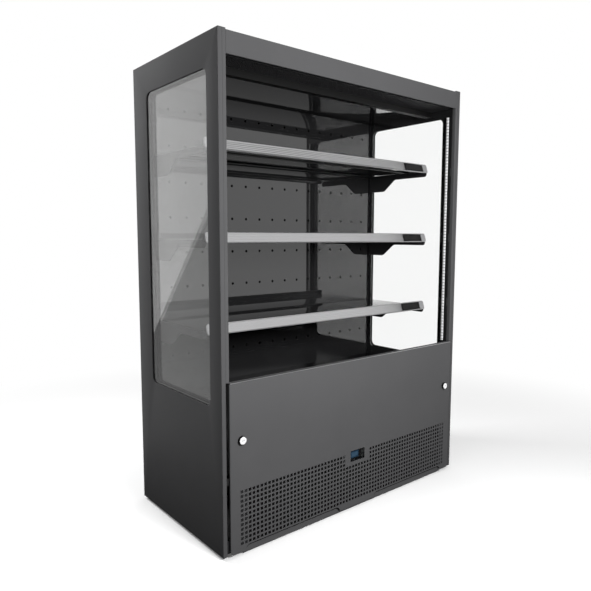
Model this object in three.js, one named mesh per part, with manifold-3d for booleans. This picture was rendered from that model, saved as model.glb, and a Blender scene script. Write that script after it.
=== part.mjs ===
// Open multideck display fridge with glazed side panels, three hook-on shelves, a lift-off
// perforated front panel and a plug-in cooling unit in the base.
//
// Millimetres. The model stands on z = 0, centred left to right and front to back. The front
// faces -Y, +X is the right-hand side as seen by a customer, +Z is up.
//
// Every function below works in cabinet coordinates: y is measured back from the front edge of
// the side panels and z up from their lower edge. The outer group moves the cabinet to its place.
import * as THREE from 'three';
import { mergeVertices } from 'three/addons/utils/BufferGeometryUtils.js';
import Module from 'manifold-3d';

const wasm = await Module();
wasm.setup();

// ---- driving dimensions ---------------------------------------------------------------------
const WIDTH = 1466; // over the side panels
const DEPTH = 716; // side panel, front edge to back edge
const HEIGHT = 2000; // side panel
const FOOT_HEIGHT = 14; // floor to the lower edge of the side panels
const PANEL_PROUD = 8; // front panel stands this far in front of the side panels
const KNOB_PROUD = 12; // knob face in front of the front panel
const GAP = 0.3; // clearance between two parts that touch

const SKIN = 18; // outer side panel thickness
const INNER_HALF = 698; // half width of the display space
const BACK_WALL_Y = 591; // front face of the perforated air panel
const INSULATION_Y = 676; // front face of the insulated back
const DECK_Z = 540; // upper face of the bottom deck
const CEILING_Z = 1912; // lower face of the ceiling and of the canopy
const ROOF_Z = 1950; // lower face of the insulated roof
const TUB_Z = 290; // lower face of the insulated tub over the machine space
const TUB_TOP = 318; // floor of the tub
const PANEL_TOP = 695.5; // top of the front panel
const PANEL_HALF = 703.5; // half width of the front panel
const TRIM_DEPTH = 18; // painted trim on the front of the side walls

const WINDOW = { front: 84, back: 587, low: 590, high: 1875, radius: 30 };
const SASH = { front: 68, back: 575, low: 586, high: 1869, radius: 26 };
const GLASS_REBATE = 10; // the glazing reaches this far under the panel edge
const GLASS_SETBACK = 4; // thickness of panel in front of the glazing
const GLASS_THICKNESS = 24;

const SHELF_TOPS = [1642, 1272, 902]; // top edges of the ticket rails, upper shelf first
const SHELF_PITCH = 370;
const SLOTS_PER_PITCH = 5; // slots in the uprights between two shelves
const SLOT_COUNT = 17;
const RAIL_HALF = 690; // half length of a ticket rail
const RAIL_FRONT_Y = 160; // lower front edge of a ticket rail
const RAIL_HEIGHT = 46;
const RAIL_LEAN = 15; // the top of a rail lies this far behind its lower edge
const RAIL_SHEET = 3;
const SHELF_FRONT_Y = 171;
const SHELF_BACK_Y = 584;
const SHELF_DROP = 26; // face of a shelf below the top of its rail
const SHELF_THICKNESS = 6;
const HOOK_DROP = 41; // upper hook below the top of the rail
const BRACKET_FRONT_Y = 169;
const BRACKET_X = 686; // inner face of a shelf bracket
const BRACKET_THICKNESS = 4;
const UPRIGHT_Y = 588; // front face of the slotted uprights
const UPRIGHT_X = 680; // their inner face; the air panel hangs between them
const UPRIGHT_DEPTH = 14;

const HOLE_PITCH = 19.4; // perforation of the front panel
const HOLE_SIZE = 11;
const HOLE_COLUMNS = 68;
const HOLE_ROWS = 12;
const HOLE_TOP_Z = 252; // centre of the top row
const HOLE_GROUP = 2; // one opening here stands for a group of 2 by 2 real holes
const BLANK_HALF = 85; // plain field round the controller
const BLANK_LOW = 205;
const DISPLAY_Z = 243; // centre of the controller's window
const KNOB_X = 649;
const KNOB_Z = 463;
const KNOB_RADIUS = 18;

const AIR_HOLE = { pitchX: 83, pitchZ: 160.5, columns: 16, rows: 8, lowest: 699, radius: 6 };
const FAN_X = 330; // evaporator fans, left and right of the middle
const FAN_Z = 428;
const FAN_RADIUS = 92;
const CONDENSER = { left: -570, right: -170, front: 40, back: 84, low: 13.3, high: 274 };
const COMPRESSOR = { x: 360, y: 420 };
const INLET_PLATE_X = 500; // right-hand end of the rear cover, where the inlet's plate begins

// ---- colours --------------------------------------------------------------------------------
function coat(color, roughness, metalness) {
  return new THREE.MeshStandardMaterial({ color, roughness, metalness });
}
const paint = coat(0x4c4c4e, 0.55, 0.1);
const gloss = coat(0x0b0b0c, 0.12, 0.0);
const blackSteel = coat(0x161617, 0.4, 0.2);
const anodised = coat(0xb4b5b7, 0.35, 0.8);
const galvanised = coat(0x9ea2a5, 0.45, 0.9);
const copper = coat(0xb06a45, 0.35, 1.0);
const chrome = coat(0xe8e8ea, 0.12, 1.0);
const plastic = coat(0x1a1a1b, 0.5, 0.0);
const fanPlastic = coat(0x2b2d2f, 0.6, 0.0);
const ledWhite = coat(0xd9dadb, 0.4, 0.0);
const displayBlue = coat(0x2f4a66, 0.2, 0.0);
const glass = coat(0xcfd6d8, 0.05, 0.0);
glass.transparent = true;
glass.opacity = 0.35;

// ---- geometry helpers -----------------------------------------------------------------------

// A box between two corners.
function block(low, high) {
  const size = high.map((value, axis) => value - low[axis]);
  const centre = high.map((value, axis) => (value + low[axis]) / 2);
  return new THREE.BoxGeometry(...size).translate(...centre);
}

function extrude(shape, depth, curveSegments) {
  return new THREE.ExtrudeGeometry(shape, { depth, bevelEnabled: false, curveSegments });
}

// A shape drawn in (y, z), carried along X from x0 to x1.
function alongX(shape, x0, x1, curveSegments = 4) {
  const basis = new THREE.Matrix4().makeBasis(
    new THREE.Vector3(0, 1, 0),
    new THREE.Vector3(0, 0, 1),
    new THREE.Vector3(1, 0, 0),
  );
  return extrude(shape, x1 - x0, curveSegments).applyMatrix4(basis).translate(x0, 0, 0);
}

// A shape drawn in (x, z), carried along Y from y0 to y1.
function alongY(shape, y0, y1, curveSegments = 4) {
  return extrude(shape, y1 - y0, curveSegments).rotateX(Math.PI / 2).translate(0, y1, 0);
}

// A shape drawn in (x, y), carried up from z0 to z1.
function alongZ(shape, z0, z1, curveSegments = 4) {
  return extrude(shape, z1 - z0, curveSegments).translate(0, 0, z0);
}

// A closed shape through the given points.
function outline(points) {
  return new THREE.Shape(points.map(([a, b]) => new THREE.Vector2(a, b)));
}

// A rectangle with rounded corners.
function roundedRectangle(a0, b0, a1, b1, radius) {
  const shape = new THREE.Shape();
  shape.moveTo(a0 + radius, b0);
  shape.absarc(a1 - radius, b0 + radius, radius, -Math.PI / 2, 0);
  shape.absarc(a1 - radius, b1 - radius, radius, 0, Math.PI / 2);
  shape.absarc(a0 + radius, b1 - radius, radius, Math.PI / 2, Math.PI);
  shape.absarc(a0 + radius, b0 + radius, radius, Math.PI, 1.5 * Math.PI);
  return shape;
}

function rectangle(a0, b0, a1, b1) {
  return outline([[a0, b0], [a1, b0], [a1, b1], [a0, b1]]);
}

// A regular polygon with one flat side down.
function polygon(a, b, radius, sides) {
  return outline(Array.from({ length: sides }, (_, i) => {
    const angle = (2 * Math.PI * (i + 0.5)) / sides - Math.PI / 2;
    return [a + radius * Math.cos(angle), b + radius * Math.sin(angle)];
  }));
}

// The section of a folded sheet: the path is one face, and the other lies a thickness to its left.
function foldedSheet(path, thickness) {
  const points = path.map(([a, b]) => new THREE.Vector2(a, b));
  const normals = points.slice(1).map((point, i) => {
    const along = point.clone().sub(points[i]).normalize();
    return new THREE.Vector2(-along.y, along.x);
  });
  const far = points.map((point, i) => {
    const before = normals[Math.max(i - 1, 0)];
    const after = normals[Math.min(i, normals.length - 1)];
    const middle = before.clone().add(after).normalize();
    return point.clone().addScaledVector(middle, thickness / middle.dot(after));
  });
  return new THREE.Shape([...points, ...far.reverse()]);
}

// A cylinder along Y.
function rodY(x, z, radius, y0, y1, sides) {
  const rod = new THREE.CylinderGeometry(radius, radius, y1 - y0, sides);
  return rod.translate(x, (y0 + y1) / 2, z);
}

// A closed profile of (radius, height) points turned about a vertical axis.
function turned(points, x, y, sides) {
  const profile = points.map(([radius, height]) => new THREE.Vector2(radius, height));
  return new THREE.LatheGeometry(profile, sides).rotateX(Math.PI / 2).translate(x, y, 0);
}

// The left-hand copy of a right-hand part.
function mirrored(geometry) {
  const copy = geometry.index ? geometry.toNonIndexed() : geometry.clone();
  copy.scale(-1, 1, 1);
  const { array } = copy.attributes.position;
  for (let start = 0; start < array.length; start += 9) {
    for (let axis = 0; axis < 3; axis += 1) {
      const second = array[start + 3 + axis];
      array[start + 3 + axis] = array[start + 6 + axis];
      array[start + 6 + axis] = second;
    }
  }
  copy.computeVertexNormals();
  return copy;
}

// A closed geometry as a solid that can be joined and cut.
function solid(geometry) {
  const bare = geometry.clone();
  bare.deleteAttribute('normal');
  bare.deleteAttribute('uv');
  const merged = mergeVertices(bare, 1e-4);
  return new wasm.Manifold(new wasm.Mesh({
    numProp: 3,
    vertProperties: new Float32Array(merged.attributes.position.array),
    triVerts: new Uint32Array(merged.index.array),
  }));
}

// The triangles of a solid as a geometry.
function surface(shape) {
  const mesh = shape.getMesh();
  const indexed = new THREE.BufferGeometry();
  indexed.setAttribute('position', new THREE.BufferAttribute(new Float32Array(mesh.vertProperties), 3));
  indexed.setIndex(new THREE.BufferAttribute(new Uint32Array(mesh.triVerts), 1));
  const faces = indexed.toNonIndexed();
  faces.computeVertexNormals();
  return faces;
}

function join(first, ...others) {
  return surface(others.reduce((whole, next) => whole.add(solid(next)), solid(first)));
}

function cut(first, ...tools) {
  return surface(tools.reduce((whole, next) => whole.subtract(solid(next)), solid(first)));
}

// ---- side walls (right-hand versions) ---------------------------------------------------------

function grown({ front, back, low, high, radius }, margin) {
  return roundedRectangle(front - margin, low - margin, back + margin, high + margin, radius);
}

// Insulated outer side with its window, rebated from inside for the glazing.
function sidePanel() {
  const flank = rectangle(0, 0, DEPTH, HEIGHT);
  flank.holes.push(grown(WINDOW, 0));
  const inside = WIDTH / 2 - SKIN;
  const pocket = alongX(grown(WINDOW, GLASS_REBATE), inside - 5, WIDTH / 2 - GLASS_SETBACK, 3);
  return cut(alongX(flank, inside, WIDTH / 2, 3), pocket);
}

// Glossy inner side with the sash opening, rebated from outside for the glazing.
function sideLiner() {
  const outside = WIDTH / 2 - SKIN - GAP;
  const wall = rectangle(TRIM_DEPTH + GAP, TUB_TOP + GAP, INSULATION_Y - GAP, ROOF_Z - GAP);
  wall.holes.push(grown(SASH, 0));
  const glassInside = WIDTH / 2 - GLASS_SETBACK - GLASS_THICKNESS;
  const pocket = alongX(grown(WINDOW, GLASS_REBATE), glassInside - 2 * GAP, outside + 5, 3);
  return cut(alongX(wall, INNER_HALF, outside, 3), pocket);
}

// Insulating glass unit of a side window.
function glazing() {
  const outside = WIDTH / 2 - GLASS_SETBACK - GAP;
  return alongX(grown(WINDOW, GLASS_REBATE - GAP), outside - GLASS_THICKNESS, outside, 3);
}

// Painted trim that closes the front of the side wall above the front panel.
function postTrim() {
  const far = WIDTH / 2 - SKIN - GAP;
  const section = new THREE.Shape();
  section.moveTo(far, TRIM_DEPTH);
  section.lineTo(INNER_HALF, TRIM_DEPTH);
  section.absarc(INNER_HALF + 3, 3, 3, Math.PI, 1.5 * Math.PI);
  section.lineTo(far, 0);
  section.closePath();
  return alongZ(section, PANEL_TOP + 1.5, HEIGHT, 3);
}

// Light strip behind the trim: an aluminium channel with a domed diffuser.
function ledStrip() {
  const back = INNER_HALF - GAP;
  const section = new THREE.Shape();
  section.moveTo(back, 47);
  section.lineTo(back - 3, 47);
  section.absellipse(back - 3, 38.5, 6, 8.5, Math.PI / 2, 1.5 * Math.PI);
  section.lineTo(back, 30);
  section.closePath();
  return alongZ(section, PANEL_TOP + 2, 1872, 4);
}

// Slotted channel in a back corner that the shelf brackets hook into.
function upright() {
  const near = UPRIGHT_X;
  const far = INNER_HALF - GAP;
  const low = DECK_Z + GAP;
  const high = CEILING_Z - GAP;
  const pitch = SHELF_PITCH / SLOTS_PER_PITCH;
  const slotX = BRACKET_X + BRACKET_THICKNESS / 2;
  const lowest = SHELF_TOPS[2] - HOOK_DROP - 4 * pitch;
  const slots = [];
  for (let slot = 0; slot < SLOT_COUNT; slot += 1) {
    const z = lowest + slot * pitch;
    slots.push(block([slotX - 3.5, 0, z - 11], [slotX + 3.5, DEPTH, z + 11]));
  }
  const web = block([near, UPRIGHT_Y, low], [far, UPRIGHT_Y + 2, high]);
  const flange = (x) => block([x, UPRIGHT_Y + 1, low], [x + 2, UPRIGHT_Y + UPRIGHT_DEPTH, high]);
  return cut(join(web, flange(near), flange(far - 2)), ...slots);
}

// ---- canopy, roof and back --------------------------------------------------------------------

// Front of the canopy: one sheet folded back over the top to the roof.
function canopyFascia() {
  const path = [[1, CEILING_Z], [1, 1996], [43.7, 1996], [43.7, 1984]];
  return alongX(foldedSheet(path, -2), -INNER_HALF + GAP, INNER_HALF - GAP);
}

// Insulated roof between the side panels, over the air duct.
function roofPanel() {
  const half = WIDTH / 2 - SKIN - GAP;
  const slab = block([-half, TRIM_DEPTH + GAP, ROOF_Z], [half, INSULATION_Y - GAP, 1995]);
  return cut(slab, block([-INNER_HALF, 0, 1900], [INNER_HALF, 44, 2050]));
}

// Honeycomb that lets the cold air curtain down, hung from the roof by its front wall.
function airHoneycomb() {
  const half = INNER_HALF - GAP;
  const columns = 10;
  const pitch = (2 * half - 12) / columns;
  const cells = [];
  for (let row = 0; row < 2; row += 1) {
    const y0 = 42 + row * 53;
    for (let column = 0; column < columns; column += 1) {
      const x0 = -half + 9 + column * pitch;
      cells.push(block([x0, y0, 1900], [x0 + pitch - 6, y0 + 48, 1950]));
    }
  }
  const wall = block([-half, 34, 1915], [half, 37, ROOF_Z - GAP]);
  return join(cut(block([-half, 34, 1915], [half, 150 - GAP, 1927]), ...cells), wall);
}

// Glossy ceiling sheet with the hanging lip that screens the air outlet.
function ceilingLiner() {
  const back = BACK_WALL_Y - GAP;
  const high = ROOF_Z - GAP;
  const path = [[150, high], [150, 1886], [184, 1886], [184, CEILING_Z], [back, CEILING_Z], [back, high]];
  return alongX(foldedSheet(path, 2), -INNER_HALF + GAP, INNER_HALF - GAP);
}

// Perforated air panel at the back of the display space.
function backAirPanel() {
  const half = UPRIGHT_X - GAP;
  const { pitchX, pitchZ, columns, rows, lowest, radius } = AIR_HOLE;
  const holes = [];
  for (let row = 0; row < rows; row += 1) {
    for (let column = 0; column < columns; column += 1) {
      const x = (column - (columns - 1) / 2) * pitchX;
      holes.push(rodY(x, lowest + row * pitchZ, radius, BACK_WALL_Y - 5, BACK_WALL_Y + 5, 4));
    }
  }
  const sheet = block([-half, BACK_WALL_Y, DECK_Z + GAP], [half, BACK_WALL_Y + 2, ROOF_Z - 1]);
  return cut(sheet, ...holes);
}

// Insulated back of the cabinet, from the tub to the roof.
function rearPanel() {
  const half = WIDTH / 2 - SKIN - GAP;
  return block([-half, INSULATION_Y, TUB_Z], [half, DEPTH, 1996]);
}

// Cover of the machine space at the back, with rows of air slots.
function rearGrille() {
  const half = WIDTH / 2 - SKIN - GAP;
  const slots = [];
  for (let column = 0; column < 6; column += 1) {
    for (let row = 0; row < 4; row += 1) {
      const x0 = -560 + column * 160;
      const z0 = 70 + row * 44;
      slots.push(block([x0, 0, z0], [x0 + 130, DEPTH + 5, z0 + 16]));
    }
  }
  return cut(block([-half, DEPTH - 6, 14], [INLET_PLATE_X, DEPTH - 4, TUB_Z - GAP]), ...slots);
}

// ---- shelves ----------------------------------------------------------------------------------

// Height of the underside of a shelf whose rail ends at the given top.
function shelfUnderside(top) {
  return top - SHELF_DROP - SHELF_THICKNESS;
}

// Glossy flat shelf that lies on the brackets.
function shelfPlate(top) {
  const reach = RAIL_HALF - 1;
  return block([-reach, SHELF_FRONT_Y, shelfUnderside(top)], [reach, SHELF_BACK_Y, top - SHELF_DROP]);
}

// One bracket, drawn in (y, z): a slim arm notched for the rail, and a deep heel with two hooks.
function bracketProfile(top) {
  const shape = new THREE.Shape();
  const heel = UPRIGHT_Y - 0.5;
  const front = BRACKET_FRONT_Y;
  const rest = shelfUnderside(top) - GAP;
  const upper = top - HOOK_DROP;
  const lower = upper - SHELF_PITCH / SLOTS_PER_PITCH;
  shape.moveTo(heel, upper - 7);
  shape.lineTo(heel + 9, upper - 7);
  shape.lineTo(heel + 9, upper + 7);
  shape.lineTo(heel, upper + 7);
  shape.lineTo(heel - 7, rest);
  shape.lineTo(front + 16, rest);
  shape.lineTo(front + 16, rest - 2.5);
  shape.lineTo(front, rest - 2.5);
  shape.lineTo(front, top - 50);
  shape.absarc(front + 14, top - 50, 14, Math.PI, 1.5 * Math.PI);
  shape.lineTo(378, top - 63.5);
  shape.quadraticCurveTo(394, top - 63.5, 406, top - 71);
  shape.lineTo(466, top - 118);
  shape.quadraticCurveTo(477, top - 127, 488, top - 127);
  shape.lineTo(heel, top - 127);
  shape.lineTo(heel, lower - 7);
  shape.lineTo(heel + 9, lower - 7);
  shape.lineTo(heel + 9, lower + 7);
  shape.lineTo(heel, lower + 7);
  shape.closePath();
  return shape;
}

// Both brackets of a shelf, joined by two slim bars under it.
function shelfFrame(top) {
  const right = alongX(bracketProfile(top), BRACKET_X, BRACKET_X + BRACKET_THICKNESS, 3);
  const reach = BRACKET_X + 1;
  const rest = shelfUnderside(top) - GAP;
  const bars = [292, 560].map((y) => block([-reach, y, rest - 5], [reach, y + 14, rest]));
  return join(right, mirrored(right), ...bars);
}

// Extruded rail for price tickets: a wall that leans back, lips for the tickets, and two ledges
// that grip the front edge of the shelf.
function ticketRail(top) {
  const low = top - RAIL_HEIGHT;
  const front = (z) => RAIL_FRONT_Y + (RAIL_LEAN * (z - low)) / RAIL_HEIGHT;
  const back = (z) => front(z) + RAIL_SHEET;
  const under = shelfUnderside(top) - GAP;
  const over = top - SHELF_DROP + GAP;
  const section = outline([
    [front(low), low], [front(low) - 1, low + 2], [front(low + 4), low + 4], [front(low + 4) + 1, low + 4.6],
    [front(top - 4.6) + 1, top - 4.6], [front(top - 4), top - 4], [front(top) - 1.5, top - 1.5], [front(top), top],
    [back(top) + 3, top], [back(top) + 3, top - 2], [back(top - 2), top - 2],
    [back(over + 1.6), over + 1.6], [SHELF_FRONT_Y + 12, over + 1.6], [SHELF_FRONT_Y + 12, over],
    [SHELF_FRONT_Y - GAP, over], [SHELF_FRONT_Y - GAP, under], [SHELF_FRONT_Y + 12, under],
    [SHELF_FRONT_Y + 12, under - 1.6], [back(under - 1.6), under - 1.6], [back(low + 3), low + 3],
    [BRACKET_FRONT_Y - GAP, low + 3], [BRACKET_FRONT_Y - GAP, low],
  ]);
  return alongX(section, -RAIL_HALF, RAIL_HALF);
}

// Black ticket holder held by the lips at the right-hand end of a rail.
function railInsert(top) {
  const low = top - RAIL_HEIGHT;
  const face = (z) => RAIL_FRONT_Y + (RAIL_LEAN * (z - low)) / RAIL_HEIGHT;
  const section = outline([
    [face(low + 5) - 0.6, low + 5], [face(low + 5) + 0.6, low + 5],
    [face(top - 5) + 0.6, top - 5], [face(top - 5) - 0.6, top - 5],
  ]);
  return alongX(section, 505, 664);
}

// ---- deck and cooling -------------------------------------------------------------------------

// Bottom deck with side skirts that stand on the tub's floor.
function deckTray() {
  const half = INNER_HALF - GAP;
  const path = [[-half, TUB_TOP + GAP], [-half, DECK_Z], [half, DECK_Z], [half, TUB_TOP + GAP]];
  return alongY(foldedSheet(path, -2), 62, UPRIGHT_Y + UPRIGHT_DEPTH);
}

// Slotted strip over the return air gap between the riser and the deck.
function returnAirGrille() {
  const half = INNER_HALF - 1;
  const low = DECK_Z + GAP;
  const count = 10;
  const pitch = (2 * half - 20) / count;
  const slots = [];
  for (let slot = 0; slot < count; slot += 1) {
    const x0 = -half + 14 + slot * pitch;
    slots.push(block([x0, 32, low - 5], [x0 + pitch - 8, 56, low + 5]));
  }
  return cut(block([-half, 28, low], [half, 96, low + 2]), ...slots);
}

// Insulated wall behind the upper part of the front panel.
function frontRiser() {
  const half = INNER_HALF - GAP;
  const section = outline([
    [1, TUB_TOP + GAP], [26, TUB_TOP + GAP], [26, 686], [20, 692.7], [1, 692.7],
  ]);
  return alongX(section, -half, half);
}

// Insulated floor under the evaporator, sloped to its drain, with a rim for the back.
function evaporatorTub() {
  const half = WIDTH / 2 - SKIN - GAP;
  const back = INSULATION_Y - GAP;
  const section = outline([
    [1, TUB_Z], [back, TUB_Z], [back, TUB_TOP + 22], [back - 12, TUB_TOP + 22], [back - 14, TUB_TOP],
    [1, TUB_TOP],
  ]);
  const drain = new THREE.CylinderGeometry(9, 9, 60, 10).rotateX(Math.PI / 2).translate(-480, 620, TUB_Z);
  const corner = block([INNER_HALF, 600, TUB_TOP + GAP / 2], [half + 5, back + 5, TUB_TOP + 30]);
  const tub = cut(alongX(section, -half, half), drain, corner);
  return cut(tub, mirrored(corner));
}

// Finned coil block on two feet.
function evaporatorCoil() {
  const half = 560;
  const low = TUB_TOP + 10;
  const fins = 12;
  const pitch = (2 * half) / fins;
  const points = [[-half, low]];
  for (let fin = 0; fin < fins; fin += 1) {
    const x = -half + fin * pitch;
    points.push([x, 500], [x + pitch - 10, 500], [x + pitch - 10, 482], [x + pitch, 482]);
  }
  points.push([half, low]);
  const feet = [-480, 450].map((x) => block([x, 420, TUB_TOP + GAP], [x + 30, 540, low + 1]));
  return join(alongY(outline(points), 410, 550), ...feet);
}

// Upright plate with two fan openings; each motor stands on a bridge behind its opening.
function fanPlate() {
  const low = TUB_TOP + GAP;
  const plate = rectangle(-690, low, 690, DECK_Z - 2 - GAP);
  for (const x of [-FAN_X, FAN_X]) plate.holes.push(polygon(x, FAN_Z, FAN_RADIUS + 5, 16));
  const parts = [alongY(plate, 340, 342)];
  for (const x of [-FAN_X, FAN_X]) {
    parts.push(block([x - 10, 341, low], [x + 10, 372, low + 4]));
    parts.push(block([x - 10, 366, low], [x + 10, 370, FAN_Z]));
    parts.push(rodY(x, FAN_Z, 28, 352, 385, 12));
    parts.push(rodY(x, FAN_Z, 4, 330, 353, 6));
  }
  return join(...parts);
}

// Axial fan rotor about the Y axis through (x, z): a hub with a shaft bore and pitched blades.
function fanRotor(x, z, radius, y0, y1, blades) {
  const middle = (y0 + y1) / 2;
  const hubRadius = radius * 0.3;
  const hub = rodY(0, 0, hubRadius, y0, y1, 10);
  const blade = outline([
    [hubRadius * 0.7, -radius * 0.16], [radius * 0.72, -radius * 0.3], [radius * 0.96, -radius * 0.2],
    [radius, 0], [radius * 0.93, radius * 0.26], [hubRadius * 0.7, radius * 0.14],
  ]);
  const parts = Array.from({ length: blades }, (_, i) => {
    const vane = alongY(blade, -1.2, 1.2).rotateX(-0.42).translate(0, middle, 0);
    return vane.rotateY((2 * Math.PI * i) / blades);
  });
  const bore = rodY(0, 0, 5, y0 - 5, y1 + 5, 6);
  return cut(join(hub, ...parts), bore).translate(x, 0, z);
}

// Bottom chassis: a sheet with upstands at the front and back and bosses for the feet.
function baseFrame() {
  const half = WIDTH / 2 - SKIN - GAP;
  const path = [[3, 62], [3, 10], [DEPTH - 6.3, 10], [DEPTH - 6.3, 62]];
  const sheet = alongX(foldedSheet(path, 3), -half, half);
  const nuts = footPlaces().map(([x, y]) => alongZ(polygon(x, y, 11, 6), 12, 22));
  const bores = footPlaces().map(([x, y]) => alongZ(polygon(x, y, 5.8, 6), 0, 40));
  return cut(join(sheet, ...nuts), ...bores);
}

// Painted strip behind the arches of the front panel.
function plinthStrip() {
  return alongX(foldedSheet([[14, -9], [0.7, -9], [0.7, 58]], -2), -640, 640);
}

function footPlaces() {
  return [-640, 640].flatMap((x) => [60, 650].map((y) => [x, y]));
}

// Levelling foot: a dished pad on a stem that screws into the chassis.
function levellingFoot([x, y]) {
  const floor = -FOOT_HEIGHT;
  return turned([
    [0, floor], [24, floor], [22, floor + 7], [9, floor + 11], [5, floor + 12], [5, 34], [0, 34],
  ], x, y, 10);
}

// ---- machine space ----------------------------------------------------------------------------

// Finned condenser behind the perforated field.
function condenserCoil() {
  const { left, right, front, back, low, high } = CONDENSER;
  const fins = 12;
  const pitch = (right - left) / fins;
  const points = [[right, back], [left, back]];
  for (let fin = 0; fin < fins; fin += 1) {
    const x = left + fin * pitch;
    points.push([x, front], [x + pitch - 7, front], [x + pitch - 7, front + 14], [x + pitch, front + 14]);
  }
  points.push([right, front + 14]);
  return alongZ(outline(points.reverse()), low, high);
}

// Fan shroud behind the condenser, with the motor on a bridge across its opening.
function condenserShroud() {
  const { left, right, back, low, high } = CONDENSER;
  const x = (left + right) / 2;
  const z = (low + high) / 2;
  const plate = rectangle(left, low, right, high);
  plate.holes.push(polygon(x, z, 112, 18));
  const y0 = back + 2;
  return join(
    alongY(plate, y0, y0 + 3),
    block([x - 12, y0 + 1, low], [x + 12, y0 + 62, low + 4]),
    block([x - 12, y0 + 58, low], [x + 12, y0 + 62, z]),
    rodY(x, z, 34, y0 + 40, y0 + 76, 10),
    rodY(x, z, 4, y0 + 8, y0 + 41, 6),
  );
}

// Hermetic compressor: a welded shell on a base plate with four mounts.
function compressor() {
  const { x, y } = COMPRESSOR;
  const shell = turned([
    [0, 24], [66, 24], [86, 40], [92, 74], [92, 112], [95, 114], [95, 122], [92, 124],
    [88, 156], [68, 192], [0, 208],
  ], x, y, 12);
  const plate = alongZ(roundedRectangle(x - 115, y - 70, x + 115, y + 70, 14), 20, 25, 3);
  const mounts = [-95, 95].flatMap((dx) => [-52, 52].map((dy) => {
    return turned([[0, 13 + GAP], [14, 13 + GAP], [10, 30], [0, 30]], x + dx, y + dy, 6);
  }));
  const terminal = block([x - 122, y - 30, 100], [x - 80, y + 30, 150]);
  return join(shell, plate, terminal, ...mounts);
}

// Straight runs through the given points, joined by round bends.
function bentPath(corners, radius) {
  const points = corners.map((corner) => new THREE.Vector3(...corner));
  const path = new THREE.CurvePath();
  let start = points[0];
  for (let i = 1; i < points.length - 1; i += 1) {
    const before = points[i].clone().sub(start).setLength(radius);
    const after = points[i + 1].clone().sub(points[i]).setLength(radius);
    const into = points[i].clone().sub(before);
    const outOf = points[i].clone().add(after);
    path.add(new THREE.LineCurve3(start, into));
    path.add(new THREE.QuadraticBezierCurve3(into, points[i], outOf));
    start = outOf;
  }
  path.add(new THREE.LineCurve3(start, points[points.length - 1]));
  return path;
}

// Copper line from the compressor to the evaporator.
function coolingPipe() {
  const { x, y } = COMPRESSOR;
  const route = bentPath([
    [x + 20, y, 207.2],
    [x + 20, y, 250],
    [x + 170, y + 40, 250],
    [x + 170, y + 160, 250],
    [x + 170, y + 160, TUB_Z - GAP],
  ], 20);
  const ring = polygon(0, 0, 6, 6);
  return new THREE.ExtrudeGeometry(ring, { steps: 16, extrudePath: route, bevelEnabled: false });
}

// Open tray that the defrost water runs into.
function evaporationTray() {
  const outer = alongZ(roundedRectangle(-620, 420, -300, 680, 18), 13 + GAP, 66, 2);
  const inner = alongZ(roundedRectangle(-617, 423, -303, 677, 15), 16 + GAP, 80, 2);
  return cut(outer, inner);
}

// Electrical box under the tub; it carries the controller on its front.
function electricalBox() {
  const half = 86;
  const path = outline([
    [24.5, 176], [60, 168], [150, 168], [150, TUB_Z - GAP], [24.5, TUB_Z - GAP],
  ]);
  const lid = block([-60, 23, 184], [60, 25, 214]);
  return join(alongX(path, -half, half), lid);
}

// Plate beside the rear cover that carries the mains inlet.
function powerInlet() {
  const half = WIDTH / 2 - SKIN - GAP;
  const plate = block([INLET_PLATE_X + GAP, DEPTH - 6, 14], [half, DEPTH - 4, TUB_Z - GAP]);
  const body = block([522, DEPTH - 34, 102], [568, DEPTH - 3.7, 148]);
  const flange = alongY(roundedRectangle(514, 94, 576, 156, 4), DEPTH - 4.2, DEPTH - 1, 1);
  const socket = alongY(roundedRectangle(530, 112, 560, 138, 4), DEPTH - 22, DEPTH + 5, 1);
  const earth = block([542, DEPTH - 23, 132], [548, DEPTH - 6, 134]);
  const pins = [535, 551].map((x) => block([x, DEPTH - 23, 120], [x + 3, DEPTH - 6, 126]));
  return join(cut(join(plate, body, flange), socket), earth, ...pins);
}

// ---- front panel ------------------------------------------------------------------------------

// Lower edge of the panel: three feet with two shallow arches between them.
function panelOutline() {
  const shape = new THREE.Shape();
  const [archFar, archNear, rise, corner] = [634, 112, 26, 22];
  shape.moveTo(-PANEL_HALF, 3);
  shape.lineTo(-archFar, 3);
  shape.quadraticCurveTo(-archFar + 4, rise, -archFar + corner + 8, rise);
  shape.lineTo(-archNear - corner - 8, rise);
  shape.quadraticCurveTo(-archNear - 4, rise, -archNear, 3);
  shape.lineTo(archNear, 3);
  shape.quadraticCurveTo(archNear + 4, rise, archNear + corner + 8, rise);
  shape.lineTo(archFar - corner - 8, rise);
  shape.quadraticCurveTo(archFar - 4, rise, archFar, 3);
  shape.lineTo(PANEL_HALF - 10, 3);
  shape.lineTo(PANEL_HALF, 11);
  shape.lineTo(PANEL_HALF, PANEL_TOP);
  shape.lineTo(-PANEL_HALF, PANEL_TOP);
  shape.closePath();
  return shape;
}

// The perforated field as square openings, each in place of a group of real holes.
function perforation() {
  const openings = [];
  const columns = HOLE_COLUMNS / HOLE_GROUP;
  const rows = HOLE_ROWS / HOLE_GROUP;
  const pitch = HOLE_PITCH * HOLE_GROUP;
  const half = (HOLE_SIZE * HOLE_GROUP) / 2;
  const top = HOLE_TOP_Z - (HOLE_PITCH * (HOLE_GROUP - 1)) / 2;
  for (let row = 0; row < rows; row += 1) {
    const z = top - row * pitch;
    for (let column = 0; column < columns; column += 1) {
      const x = (column - (columns - 1) / 2) * pitch;
      const inBlank = Math.abs(x) < BLANK_HALF && z > BLANK_LOW - HOLE_PITCH / 2;
      if (!inBlank) openings.push(block([x - half, -50, z - half], [x + half, 5, z + half]));
    }
  }
  return openings;
}

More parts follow.
